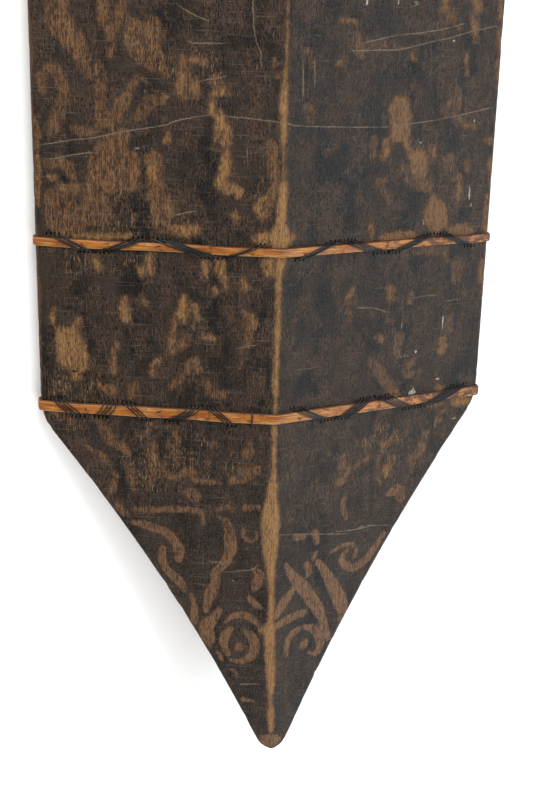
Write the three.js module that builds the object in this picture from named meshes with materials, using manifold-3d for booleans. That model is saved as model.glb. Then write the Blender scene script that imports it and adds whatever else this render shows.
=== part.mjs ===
// A long wooden shield with six sides, lying with its ridged front up. Millimetres, +Z up.
// X runs across the shield, Y along it, and the origin is on the ground under its middle.
// The board is one carved piece, with its grip. Four split cane bands cross the front, turn
// round the side edges and are laced down through rows of holes beside them.
import * as THREE from "three";
import { mergeVertices } from "three/addons/utils/BufferGeometryUtils.js";
import Module from "manifold-3d";

const wasm = await Module();
wasm.setup();

// The board's plan
const boardWidth = 400;
const sideLength = 608; // of each long side, between the corners at its two ends
const pointLength = 340; // of each end, from those corners to where its edges would meet
const slopeHollow = 14; // how far the end's edges curve in, measured across the shield
const cornerRoundingOnSide = 20; // where a side corner's rounding starts on the long side
const cornerRoundingOnSlope = 13; // and where it ends on the end's edge
const tipRadius = 15; // of the blunt tips

// The board's section
const ridgeRise = 62; // from the side edges to the ridge, on the front
const ridgeRadius = 15; // rounding of the ridge
const hollowRadius = 20; // rounding at the bottom of the hollow behind it
const boardThickness = 12; // at the ridge, measured upright
const edgeThickness = 9; // at the side edges
const edgeLand = 7; // flat strip under the side edges

// The grip, left standing in the hollow
const gripLength = 236; // where it leaves the board
const gripReach = 168; // of its flat underside
const fingerLength = 132; // of the gap behind the bar
const fingerGap = 32; // from the bar to the bottom of the hollow
const barThickness = 20;
const barWidth = 30; // at the middle
const gripEndWidth = 44; // where it joins the board
const barRounding = 7; // of the bar's edges
const gapRounding = 10; // in the corners of the finger gap
const gripRooting = 5; // how deep its ends are taken into the board's thickness

// The cane bands
const outerBandInset = 9; // from the side corners to the two end bands
const innerBandOffset = 150.5; // from the middle of the shield to the other two
const outerBandWidth = 10.5;
const innerBandWidth = 8.5;
const bandThickness = 2.2;
const bandBevel = 1.9; // sloping border of the cane's face
const bandRimThickness = 1.2; // of the cane at its sides
const bandTuck = 40; // length turned in behind the side edges
const bandTilt = 2; // how far each half runs off square

// The lacing, a flat bundle of thin strands in each slanting stitch
const strandThickness = 1.1;
const strandPitch = 3.4; // from strand to strand in a bundle
const rowClearance = 2.4; // from the cane's side to the row of holes beside it
const holeClearance = 0.4; // round a bundle in its holes
const backBundleWidth = 2; // where the strands run side by side behind the board
const tuckStrands = 2; // in the stitch that holds each tucked end of the cane
const tuckLean = 5; // how far that stitch runs inwards

const seat = 0.3; // clearance between pieces that lie on each other

// Facets of the rounded forms
const curveSteps = 8; // in a long curve
const roundingSteps = 5; // in a corner
const bendSteps = 4; // over the ridge and in the hollow
const bandBendStep = 0.6; // radians between the facets where a band turns round an edge

// Each stitch of a lacing: where its two ends are, as shares of half the board's width, and
// how many strands it has. The stitches run from left to right, down and up by turns.
const outerStitches = [
  { top: -0.935, bottom: -0.845, strands: 4 },
  { top: -0.705, bottom: -0.75, strands: 4 },
  { top: -0.64, bottom: -0.56, strands: 3 },
  { top: -0.35, bottom: -0.455, strands: 4 },
  { top: -0.29, bottom: -0.205, strands: 3 },
  { top: -0.126, bottom: -0.126, strands: 1 },
  { top: 0.07, bottom: 0.22, strands: 4 },
  { top: 0.418, bottom: 0.295, strands: 5 },
  { top: 0.495, bottom: 0.64, strands: 5 },
  { top: 0.9, bottom: 0.728, strands: 6 },
];
const innerStitches = [
  { top: -0.93, bottom: -0.795, strands: 4 },
  { top: -0.58, bottom: -0.733, strands: 4 },
  { top: -0.5, bottom: -0.295, strands: 6 },
  { top: -0.092, bottom: -0.245, strands: 2 },
  { top: 0.23, bottom: 0.065, strands: 3 },
  { top: 0.29, bottom: 0.453, strands: 5 },
  { top: 0.69, bottom: 0.52, strands: 4 },
  { top: 0.756, bottom: 0.905, strands: 4 },
];

const halfWidth = boardWidth / 2;
const cornerY = sideLength / 2;
const apexY = cornerY + pointLength;
const outerBandOffset = cornerY - outerBandInset;
const underside = bandThickness + seat; // the board's lowest face, which the bands carry
const frontSlope = ridgeRise / halfWidth;
const backSlope = (ridgeRise + edgeThickness - boardThickness) / (halfWidth - edgeLand);

function frontHeight(x) {
  return underside + edgeThickness + ridgeRise - frontSlope * Math.abs(x);
}

function backHeight(x) {
  return underside + Math.max(0, halfWidth - edgeLand - Math.abs(x)) * backSlope;
}

function solid(geometry) {
  const bare = geometry.index ? geometry : geometry.clone();
  bare.deleteAttribute("normal");
  bare.deleteAttribute("uv");
  const merged = mergeVertices(bare, 1e-4);
  return new wasm.Manifold(new wasm.Mesh({
    numProp: 3,
    vertProperties: new Float32Array(merged.attributes.position.array),
    triVerts: new Uint32Array(merged.index.array),
  }));
}

function geometryOf(manifold) {
  const mesh = manifold.getMesh();
  const geometry = new THREE.BufferGeometry();
  geometry.setAttribute("position", new THREE.BufferAttribute(mesh.vertProperties, 3));
  geometry.setIndex(new THREE.BufferAttribute(mesh.triVerts, 1));
  geometry.computeVertexNormals();
  return geometry;
}

function joined(solids) {
  return solids.reduce((whole, piece) => whole.add(piece));
}

// An upright prism over a plan in X and Y
function planPrism(points, low, high) {
  const plan = new THREE.Shape(points);
  const geometry = new THREE.ExtrudeGeometry(plan, { depth: high - low, bevelEnabled: false });
  return solid(geometry.translate(0, 0, low));
}

// A prism along Y with a section in X and Z
function lengthPrism(points, length) {
  const section = new THREE.Shape(points);
  const geometry = new THREE.ExtrudeGeometry(section, { depth: length, bevelEnabled: false });
  return solid(geometry.rotateX(Math.PI / 2).translate(0, length / 2, 0));
}

// A prism along X with a profile in Y and Z
function crossPrism(profile, width) {
  const geometry = new THREE.ExtrudeGeometry(profile, { depth: width, bevelEnabled: false });
  geometry.rotateZ(Math.PI / 2).rotateY(Math.PI / 2);
  return solid(geometry.translate(-width / 2, 0, 0));
}

function samples(curve, from, to, count) {
  const points = [];
  for (let i = 0; i <= count; i += 1) {
    points.push(curve.getPoint(from + ((to - from) * i) / count));
  }
  return points;
}

// A quarter of the plan, from the middle of the right side down to the lower tip
function quarterPlan() {
  const point = (x, y) => new THREE.Vector2(x, y);
  const corner = point(halfWidth, -cornerY);
  const apex = point(0, -apexY);
  const slopeControl = corner.clone().lerp(apex, 0.5);
  slopeControl.x -= 2 * slopeHollow;
  const slope = new THREE.QuadraticBezierCurve(corner, slopeControl, apex);
  const slopeStart = cornerRoundingOnSlope / slope.getLength();
  const rounding = new THREE.QuadraticBezierCurve(
    point(halfWidth, cornerRoundingOnSide - cornerY), corner, slope.getPoint(slopeStart));

  const tipAngle = Math.atan2(slopeControl.x, apexY + slopeControl.y);
  const tipCentre = -apexY + tipRadius / Math.sin(tipAngle);
  const tangentLength = tipRadius / Math.tan(tipAngle);
  const slopeEnd = 1 - tangentLength / slope.getLength();
  const tip = new THREE.EllipseCurve(
    0, tipCentre, tipRadius, tipRadius, -tipAngle, -Math.PI / 2, true);
  return [
    point(halfWidth, 0),
    ...samples(rounding, 0, 1, roundingSteps),
    ...samples(slope, slopeStart, slopeEnd, curveSteps).slice(1),
    ...samples(tip, 0, 1, roundingSteps).slice(1),
  ];
}

function boardPlan() {
  const lowerRight = quarterPlan();
  const lowerLeft = lowerRight.slice(0, -1).reverse().map((p) => new THREE.Vector2(-p.x, p.y));
  const lower = [...lowerRight, ...lowerLeft];
  const upper = lower.slice(1, -1).reverse().map((p) => new THREE.Vector2(p.x, -p.y));
  return [...lower, ...upper].reverse();
}

// Points round a bend of two equal slopes that meet on the Y axis at the given height
function bend(height, slope, radius) {
  const angle = Math.atan(slope);
  const centre = height - radius / Math.cos(angle);
  const points = [];
  for (let i = 0; i <= bendSteps; i += 1) {
    const turn = angle * (1 - (2 * i) / bendSteps);
    points.push(new THREE.Vector2(radius * Math.sin(turn), centre + radius * Math.cos(turn)));
  }
  return points;
}

function boardSection() {
  const spare = 5; // past the side edges, which the plan cuts
  const rim = halfWidth + spare;
  const point = (x, z) => new THREE.Vector2(x, z);
  return [
    point(-rim, underside),
    point(-halfWidth + edgeLand, underside),
    ...bend(backHeight(0), backSlope, hollowRadius).reverse(),
    point(halfWidth - edgeLand, underside),
    point(rim, underside),
    point(rim, frontHeight(rim)),
    ...bend(frontHeight(0), frontSlope, ridgeRadius),
    point(-rim, frontHeight(rim)),
  ];
}

// The grip seen from the side: a bar on two sloping feet, with the finger gap behind it
function gripProfile() {
  const root = backHeight(0) + gripRooting;
  const barTop = backHeight(0) - fingerGap;
  const barBottom = barTop - barThickness;
  const profile = new THREE.Shape();
  const foot = gripLength / 2;
  const reach = gripReach / 2;
  const gap = fingerLength / 2;
  profile.moveTo(-foot, root);
  profile.lineTo(-foot, backHeight(0) - gripRooting);
  profile.quadraticCurveTo(-reach - gapRounding, barBottom + gapRounding, -reach, barBottom);
  profile.lineTo(reach, barBottom);
  profile.quadraticCurveTo(reach + gapRounding, barBottom + gapRounding, foot,
    backHeight(0) - gripRooting);
  profile.lineTo(foot, root);
  profile.lineTo(gap, root);
  profile.lineTo(gap, barTop + gapRounding);
  profile.quadraticCurveTo(gap, barTop, gap - gapRounding, barTop);
  profile.lineTo(-gap + gapRounding, barTop);
  profile.quadraticCurveTo(-gap, barTop, -gap, barTop + gapRounding);
  profile.lineTo(-gap, root);
  profile.closePath();
  return new THREE.Shape(profile.getPoints(roundingSteps).slice(0, -1));
}

// The grip seen from below: waisted, and wider at its two feet
function gripPlan() {
  const end = gripLength / 2;
  const waist = new THREE.QuadraticBezierCurve(
    new THREE.Vector2(gripEndWidth / 2, -end),
    new THREE.Vector2(barWidth - gripEndWidth / 2, 0),
    new THREE.Vector2(gripEndWidth / 2, end));
  const right = samples(waist, 0, 1, curveSteps);
  const left = right.slice().reverse().map((p) => new THREE.Vector2(-p.x, p.y));
  return [...right, ...left];
}

// Its section, with the bar's lower edges rounded
function gripSection() {
  const bottom = backHeight(0) - fingerGap - barThickness;
  const top = backHeight(0) + gripRooting;
  const flat = barWidth / 2 - barRounding;
  const flare = gripEndWidth / 2;
  const rounding = new THREE.QuadraticBezierCurve(
    new THREE.Vector2(flat, bottom), new THREE.Vector2(barWidth / 2, bottom),
    new THREE.Vector2(barWidth / 2, bottom + barRounding));
  const right = [...samples(rounding, 0, 1, roundingSteps), new THREE.Vector2(flare, top)];
  const left = right.slice().reverse().map((p) => new THREE.Vector2(-p.x, p.y));
  return [...left, ...right];
}

function gripSolid() {
  const top = backHeight(0) + gripRooting;
  const bar = crossPrism(gripProfile(), gripEndWidth);
  const waisted = bar.intersect(planPrism(gripPlan(), 0, top));
  return waisted.intersect(lengthPrism(gripSection(), gripLength));
}

// A closed body through a row of sections that have the same number of points
function sweepSolid(rings) {
  const count = rings[0].length;
  const positions = rings.flat().flatMap((p) => [p.x, p.y, p.z]);
  const indices = [];
  for (let r = 0; r + 1 < rings.length; r += 1) {
    for (let i = 0; i < count; i += 1) {
      const j = (i + 1) % count;
      const a = r * count;
      const b = a + count;
      indices.push(a + i, b + j, b + i, a + i, a + j, b + j);
    }
  }
  const last = (rings.length - 1) * count;
  for (let i = 1; i + 1 < count; i += 1) {
    indices.push(0, i + 1, i, last, last + i, last + i + 1);
  }
  const geometry = new THREE.BufferGeometry();
  geometry.setAttribute("position", new THREE.Float32BufferAttribute(positions, 3));
  geometry.setIndex(indices);
  return solid(geometry);
}

// Where a band stands along the shield, left and right of the ridge
function bandLine(band, x) {
  return band.y - (bandTilt * x) / halfWidth;
}

// The way round the board that a band follows, each point with the way it faces
function bandPath(band) {
  const tuckEnd = halfWidth - bandTuck;
  const right = [
    new THREE.Vector2(tuckEnd, backHeight(tuckEnd)),
    new THREE.Vector2(halfWidth - edgeLand, underside),
    new THREE.Vector2(halfWidth, underside),
    new THREE.Vector2(halfWidth, frontHeight(halfWidth)),
  ];
  const left = right.slice().reverse().map((p) => new THREE.Vector2(-p.x, p.y));
  const way = [...right, ...bend(frontHeight(0), frontSlope, ridgeRadius), ...left];
  const facing = (a, b) => Math.atan2(a.x - b.x, b.y - a.y);
  const stations = [];
  for (let i = 0; i < way.length; i += 1) {
    const after = facing(way[Math.min(i, way.length - 2)], way[Math.min(i + 1, way.length - 1)]);
    const before = i > 0 ? facing(way[i - 1], way[i]) : after;
    const turn = Math.atan2(Math.sin(after - before), Math.cos(after - before));
    const steps = Math.ceil(Math.abs(turn) / bandBendStep);
    for (let step = 0; step <= steps; step += 1) {
      stations.push({ at: way[i], angle: before + (turn * step) / Math.max(steps, 1) });
    }
  }
  return stations;
}

function bandSolid(band) {
  const side = band.width / 2;
  const section = [
    [-side, 0], [-side, bandRimThickness], [-side + bandBevel, bandThickness],
    [side - bandBevel, bandThickness], [side, bandRimThickness], [side, 0],
  ];
  const rings = bandPath(band).map(({ at, angle }) => section.map(([across, rise]) => {
    const x = at.x + Math.cos(angle) * (seat + rise);
    const z = at.y + Math.sin(angle) * (seat + rise);
    return new THREE.Vector3(x, bandLine(band, x) + across, z);
  }));
  return sweepSolid(rings);
}

function rowOffset(band) {
  return band.width / 2 + rowClearance;
}

function bundleWidth(strands) {
  return (strands - 1) * strandPitch + strandThickness;
}

// The ends of the stitches, in the order in which the strands pass through them
function stitchEnds(band) {
  return band.stitches.map((stitch, i) => {
    const width = bundleWidth(stitch.strands);
    const top = { x: stitch.top * halfWidth, row: 1, width };
    const bottom = { x: stitch.bottom * halfWidth, row: -1, width };
    const down = i % 2 === 0;
    return down ? { from: top, to: bottom } : { from: bottom, to: top };
  });
}

// Behind the board the strands go straight from one stitch's end to the next one's start
function backRun(from, to) {
  const x0 = from.x - from.width / 2;
  const x1 = to.x + to.width / 2;
  const z0 = backHeight(x0);
  const z1 = backHeight(x1);
  const height = (x) => z0 + ((z1 - z0) * (x - x0)) / (x1 - x0) - seat;
  return { from, to, height };
}

// A flat bar between two places behind the board, of the strands' thickness
function backBar(band, height, start, end) {
  const half = backBundleWidth / 2;
  const ring = (place) => {
    const y = bandLine(band, place.x) + place.row * rowOffset(band);
    const top = height(place.x);
    const low = top - strandThickness;
    return [
      new THREE.Vector3(place.x, y - half, low), new THREE.Vector3(place.x, y - half, top),
      new THREE.Vector3(place.x, y + half, top), new THREE.Vector3(place.x, y + half, low),
    ];
  };
  return sweepSolid([ring(start), ring(end)]);
}

function edgePlace(end, side) {
  return { x: end.x + (side * end.width) / 2, row: end.row };
}

function backRunSolid(band, run) {
  const plates = [run.from, run.to].map((end) => (
    backBar(band, run.height, edgePlace(end, 1), edgePlace(end, -1))));
  const start = { x: run.from.x, row: run.from.row };
  const end = { x: run.to.x, row: run.to.row };
  return joined([...plates, backBar(band, run.height, end, start)]);
}

// A bundle over the cane: up from the board at one side, across and down at the other. Its
// profile lies in Y and Z, with Z above the board, and its ends stand on the given height.
function stitchProfile(band, endWidth, foot) {
  const upright = Math.hypot(1, frontSlope); // of what lies square to the board's slope
  const row = rowOffset(band);
  const half = endWidth / 2;
  const rim = (seat + bandRimThickness) * upright;
  const face = (seat + bandThickness + seat) * upright;
  const crown = band.width / 2 - bandBevel;
  return [
    [-row - half, foot], [-row + half, foot], [-row + half, rim], [-crown, face],
    [crown, face], [row - half, rim], [row - half, foot], [row + half, foot],
    [row + half, rim + strandThickness], [crown, face + strandThickness],
    [-crown, face + strandThickness], [-row - half, rim + strandThickness],
  ];
}

function stitchSolid(profile, width, place) {
  const shape = new THREE.Shape(profile.map(([y, z]) => new THREE.Vector2(y, z)));
  const geometry = new THREE.ExtrudeGeometry(shape, { depth: width, bevelEnabled: false });
  const position = geometry.attributes.position;
  for (let i = 0; i < position.count; i += 1) {
    const at = place(position.getX(i), position.getY(i), position.getZ(i) - width / 2);
    position.setXYZ(i, at.x, at.y, at.z);
  }
  return solid(geometry);
}

function leanAt(band, stitch, y) {
  const reach = rowOffset(band) - strandThickness / 2;
  const share = THREE.MathUtils.clamp((y + reach) / (2 * reach), 0, 1);
  const [low, high] = stitch.from.row < 0 ? [stitch.from, stitch.to] : [stitch.to, stitch.from];
  return low.x + (high.x - low.x) * share;
}

// Each of its ends passes down through the board to the strands behind it
function frontStitch(band, stitch, heightBehind) {
  const belowFront = -1;
  const profile = stitchProfile(band, strandThickness, belowFront);
  return stitchSolid(profile, stitch.from.width, (y, z, across) => {
    const x = leanAt(band, stitch, y) + across;
    const end = Math.sign(y) === stitch.from.row ? "from" : "to";
    const legEnd = heightBehind[end](x) - strandThickness / 2;
    return new THREE.Vector3(x, bandLine(band, x) + y, z < 0 ? legEnd : frontHeight(x) + z);
  });
}

// The same behind the board, over the tucked end of the cane
function tuckStitch(band, end, inward) {
  const width = bundleWidth(tuckStrands);
  const x = end.x + (inward * (end.width - width)) / 2;
  const stitch = {
    from: { x, row: end.row },
    to: { x: x + inward * tuckLean, row: -end.row },
  };
  const profile = stitchProfile(band, backBundleWidth, seat);
  return stitchSolid(profile, width, (y, z, across) => {
    const at = leanAt(band, stitch, y) - across;
    return new THREE.Vector3(at, bandLine(band, at) + y, backHeight(at) - z);
  });
}

function lacingSolid(band) {
  const stitches = stitchEnds(band);
  const runs = stitches.slice(1).map((stitch, i) => backRun(stitches[i].to, stitch.from));
  const surface = (x) => backHeight(x) - seat;
  const pieces = stitches.map((stitch, i) => frontStitch(band, stitch, {
    from: i > 0 ? runs[i - 1].height : surface,
    to: i < runs.length ? runs[i].height : surface,
  }));
  const first = stitches[0].from;
  const last = stitches[stitches.length - 1].to;
  return joined([
    ...pieces,
    ...runs.map((run) => backRunSolid(band, run)),
    tuckStitch(band, first, 1),
    tuckStitch(band, last, -1),
  ]);
}

// The row of holes that each end of a stitch passes through, as one slot
function lacingSlots(band) {
  const high = frontHeight(0) + boardThickness;
  const reach = strandThickness / 2 + holeClearance;
  return stitchEnds(band).flatMap((stitch) => [stitch.from, stitch.to]).map((end) => {
    const half = end.width / 2 + holeClearance;
    const corners = [[-1, -1], [1, -1], [1, 1], [-1, 1]].map(([sideways, along]) => {
      const x = end.x + sideways * half;
      const y = bandLine(band, x) + end.row * rowOffset(band) + along * reach;
      return new THREE.Vector2(x, y);
    });
    return planPrism(corners, -boardThickness, high);
  });
}

const bands = [
  { name: "lower_outer", y: -outerBandOffset, width: outerBandWidth, stitches: outerStitches },
  { name: "lower_inner", y: -innerBandOffset, width: innerBandWidth, stitches: innerStitches },
  { name: "upper_inner", y: innerBandOffset, width: innerBandWidth, stitches: innerStitches },
  { name: "upper_outer", y: outerBandOffset, width: outerBandWidth, stitches: outerStitches },
];

function boardSolid() {
  const top = frontHeight(0);
  const blank = planPrism(boardPlan(), 0, top);
  const carved = blank.intersect(lengthPrism(boardSection(), 2 * apexY));
  const slots = joined(bands.flatMap((band) => lacingSlots(band)));
  return carved.add(gripSolid()).subtract(slots);
}

const paintedWood = new THREE.MeshStandardMaterial({ color: 0x33291f, roughness: 0.6 });
const cane = new THREE.MeshStandardMaterial({ color: 0xb0713a, roughness: 0.4 });
const darkStrand = new THREE.MeshStandardMaterial({ color: 0x2a1c14, roughness: 0.5 });

function addPiece(group, name, manifold, material) {
  const mesh = new THREE.Mesh(geometryOf(manifold), material);
  mesh.name = name;
  group.add(mesh);
}

const shield = new THREE.Group();
addPiece(shield, "board", boardSolid(), paintedWood.clone());
for (const band of bands) {
  addPiece(shield, `band_${band.name}`, bandSolid(band), cane.clone());
  addPiece(shield, `lacing_${band.name}`, lacingSolid(band), darkStrand.clone());
}

export default shield;
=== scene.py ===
# A long wooden shield lying face up: the carved and painted board, four bands of split cane
# and the dark strands that lace them down. Lengths are millimetres until a mesh is made.
# Pixels are those of the photograph, 533 by 800, and are laid on the board through the camera.
import math

import bpy
import numpy as np
from mathutils import Matrix, Vector


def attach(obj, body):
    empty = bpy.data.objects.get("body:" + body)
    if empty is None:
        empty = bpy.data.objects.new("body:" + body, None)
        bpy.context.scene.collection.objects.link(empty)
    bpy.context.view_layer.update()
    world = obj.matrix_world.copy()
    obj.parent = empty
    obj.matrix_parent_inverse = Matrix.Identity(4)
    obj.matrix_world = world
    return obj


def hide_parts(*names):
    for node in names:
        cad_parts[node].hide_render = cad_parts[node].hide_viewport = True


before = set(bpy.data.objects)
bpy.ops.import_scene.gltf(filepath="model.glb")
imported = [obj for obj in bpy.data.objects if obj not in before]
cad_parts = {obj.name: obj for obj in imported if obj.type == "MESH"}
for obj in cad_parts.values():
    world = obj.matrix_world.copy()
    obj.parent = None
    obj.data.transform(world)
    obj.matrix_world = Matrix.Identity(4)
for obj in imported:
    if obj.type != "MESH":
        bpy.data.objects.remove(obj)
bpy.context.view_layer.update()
MM = 0.001

# The board's sizes
HALF_WIDTH = 200.0
CORNER_Y = 304.0
POINT_LENGTH = 340.0
SLOPE_HOLLOW = 14.0
CORNER_ROUNDING_ON_SIDE = 20.0
CORNER_ROUNDING_ON_SLOPE = 13.0
TIP_RADIUS = 15.0
TIP_POINTS = 40
UNDERSIDE = 2.5
EDGE_THICKNESS = 9.0
RIDGE_RISE = 62.0
BOARD_THICKNESS = 12.0
EDGE_LAND = 7.0
RIDGE_SOFTNESS = 2.4
HOLLOW_SOFTNESS = 3.0
ARRIS = 1.6
APEX_Y = CORNER_Y + POINT_LENGTH
EDGE_TOP = UNDERSIDE + EDGE_THICKNESS
RIDGE_TOP = EDGE_TOP + RIDGE_RISE
BACK_SLOPE = (RIDGE_RISE + EDGE_THICKNESS - BOARD_THICKNESS) / (HALF_WIDTH - EDGE_LAND)

# The ridge was carved a little to the left of the middle: places along it and how far off
RIDGE_Y = (-621, -570, -510, -400, -300, -150, 50, 250, 621)
RIDGE_X = (-0.5, -2.2, -3.2, -5.8, -5.6, -4.2, -3.0, -2.0, 0.0)

# The camera, as the photograph's view has it
CAMERA_AT = (-238.5, 67.2, 1099.8)
CAMERA_PITCH = 18.126
CAMERA_YAW = 12.369
CAMERA_ROLL = -1.323
FOCAL_PIXELS = 1300.0
PHOTO_WIDTH = 533
PHOTO_HEIGHT = 800
SENSOR = 36.0
ROUNDS_TO_SETTLE = 12
NEAREST_SEEN = 0.05
FURTHEST_SEEN = 50.0


# Camera

def camera_axes():
    """World to camera: a turn about Y, then X, then Z."""
    roll = Matrix.Rotation(math.radians(CAMERA_ROLL), 3, "Z")
    pitch = Matrix.Rotation(math.radians(CAMERA_PITCH), 3, "X")
    yaw = Matrix.Rotation(math.radians(CAMERA_YAW), 3, "Y")
    return roll @ pitch @ yaw


def make_camera():
    data = bpy.data.cameras.new("camera")
    data.sensor_width = SENSOR
    data.lens = FOCAL_PIXELS / PHOTO_HEIGHT * SENSOR
    data.clip_start = NEAREST_SEEN
    data.clip_end = FURTHEST_SEEN
    camera = bpy.data.objects.new("camera", data)
    turn = camera_axes().transposed().to_4x4()
    camera.matrix_world = Matrix.Translation(Vector(CAMERA_AT) * MM) @ turn
    bpy.context.scene.collection.objects.link(camera)
    bpy.context.scene.camera = camera


# The board's surfaces

def ridge_x(y):
    return np.interp(y, RIDGE_Y, RIDGE_X)


def front_z(x, y):
    middle = ridge_x(y)
    reach = np.where(x > middle, HALF_WIDTH - middle, HALF_WIDTH + middle)
    slope = RIDGE_RISE / reach
    return RIDGE_TOP - slope * np.hypot(x - middle, RIDGE_SOFTNESS)


def back_z(x):
    inside = HALF_WIDTH - EDGE_LAND - np.hypot(x, HOLLOW_SOFTNESS)
    return UNDERSIDE + np.maximum(0, inside) * BACK_SLOPE


def on_board(pixels):
    """Where pixels of the photograph lie on the board's front, as X and Y."""
    pixels = np.asarray(pixels, float).reshape(-1, 2)
    axes = np.array(camera_axes())
    rays = np.stack([
        (pixels[:, 0] - PHOTO_WIDTH / 2) / FOCAL_PIXELS,
        -(pixels[:, 1] - PHOTO_HEIGHT / 2) / FOCAL_PIXELS,
        -np.ones(len(pixels)),
    ], axis=1) @ axes
    at = np.array(CAMERA_AT)
    height = np.full(len(pixels), EDGE_TOP + RIDGE_RISE / 2)
    for _ in range(ROUNDS_TO_SETTLE):
        point = at + rays * ((height - at[2]) / rays[:, 2])[:, None]
        height = front_z(point[:, 0], point[:, 1])
    return point[:, :2]


def bezier(start, control, end, count):
    t = np.linspace(0, 1, count)[:, None]
    return (1 - t) ** 2 * start + 2 * t * (1 - t) * control + t ** 2 * end


def outline():
    """A quarter of the plan, as half widths against distances from the middle."""
    corner = np.array([HALF_WIDTH, CORNER_Y])
    apex = np.array([0.0, APEX_Y])
    control = (corner + apex) / 2 - np.array([2 * SLOPE_HOLLOW, 0])
    slope = bezier(corner, control, apex, 400)
    run = np.concatenate([[0], np.cumsum(np.hypot(*np.diff(slope, axis=0).T))])
    angle = math.atan2(control[0], APEX_Y - control[1])
    tip_centre = APEX_Y - TIP_RADIUS / math.sin(angle)
    keep = (run > CORNER_ROUNDING_ON_SLOPE) & (run < run[-1] - TIP_RADIUS / math.tan(angle))
    start = np.array([HALF_WIDTH, CORNER_Y - CORNER_ROUNDING_ON_SIDE])
    rounding = bezier(start, corner, slope[keep][0], 20)
    turn = np.linspace(angle, math.pi / 2, TIP_POINTS)
    tip = np.stack([
        TIP_RADIUS * np.cos(turn), tip_centre + TIP_RADIUS * np.sin(turn)], axis=1)
    return np.vstack([[[HALF_WIDTH, 0.0]], rounding, slope[keep][1:], tip])


OUTLINE = outline()
TIP_Y = OUTLINE[-1, 1]


def half_width(y):
    return np.interp(np.abs(y), OUTLINE[:, 1], OUTLINE[:, 0])


# Smooth seeded noise, and distances to drawn lines

LATTICE = 61


def noise(a, b, seed):
    """Smooth noise between -1 and 1 over two rows of coordinates, one lattice step to a unit."""
    lattice = np.random.default_rng(seed).uniform(-1, 1, (LATTICE, LATTICE))
    a = np.asarray(a, float)
    b = np.asarray(b, float)
    column = np.floor(a).astype(int)
    row = np.floor(b).astype(int)
    u = a - column
    v = b - row
    u = u * u * (3 - 2 * u)
    v = v * v * (3 - 2 * v)

    def across(row):
        start = lattice[column % LATTICE, row % LATTICE]
        end = lattice[(column + 1) % LATTICE, row % LATTICE]
        return start * (1 - u) + end * u

    return across(row) * (1 - v) + across(row + 1) * v


def waves(x, y, layers):
    """Several noises laid over each other: height, size across, size along, seed of each."""
    return sum(
        height * noise(x / across, y / along, seed) for height, across, along, seed in layers)


def smooth_line(points, steps=6):
    """A smooth curve through rows of values, at even steps between them."""
    points = np.asarray(points, float)
    if len(points) < 3:
        return points
    padded = np.vstack([2 * points[0] - points[1], points, 2 * points[-1] - points[-2]])
    rows = []
    for before, start, end, after in zip(padded, padded[1:], padded[2:], padded[3:]):
        for t in np.arange(steps) / steps:
            rows.append(0.5 * (
                2 * start + (end - before) * t
                + (2 * before - 5 * start + 4 * end - after) * t ** 2
                + (3 * start - before - 3 * end + after) * t ** 3))
    return np.vstack(rows + [points[-1]])


FAR = 40.0


def stroke_distance(at, line, widths):
    """How far rows of X and Y are from the edge of a stroke: below zero is inside it."""
    nearest = np.full(len(at), FAR)
    widest = max(widths) / 2 + FAR / 2
    low = line.min(axis=0) - widest
    high = line.max(axis=0) + widest
    near = np.flatnonzero(((at > low) & (at < high)).all(axis=1))
    close = at[near]
    best = nearest[near]
    for start, end, first, last in zip(line, line[1:], widths, widths[1:]):
        run = end - start
        share = np.clip(((close - start) @ run) / max(run @ run, 1e-9), 0, 1)
        gap = np.hypot(*(close - start - share[:, None] * run).T)
        best = np.minimum(best, gap - (first + (last - first) * share) / 2)
    nearest[near] = best
    return nearest


def strokes_distance(at, strokes):
    """The nearest of several strokes, each a row of (pixel across, pixel down, pixels wide)."""
    nearest = np.full(len(at), FAR)
    for stroke in strokes:
        row = smooth_line(stroke)
        pixels = row[:, :2]
        here = on_board(pixels)
        across = np.linalg.norm(on_board(pixels + [1, 0]) - here, axis=1)
        down = np.linalg.norm(on_board(pixels + [0, 1]) - here, axis=1)
        widths = row[:, 2] * (across + down) / 2
        nearest = np.minimum(nearest, stroke_distance(at, here, widths))
    return nearest


# What the photograph shows on the board: strokes through (across, down, wide), in pixels

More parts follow.
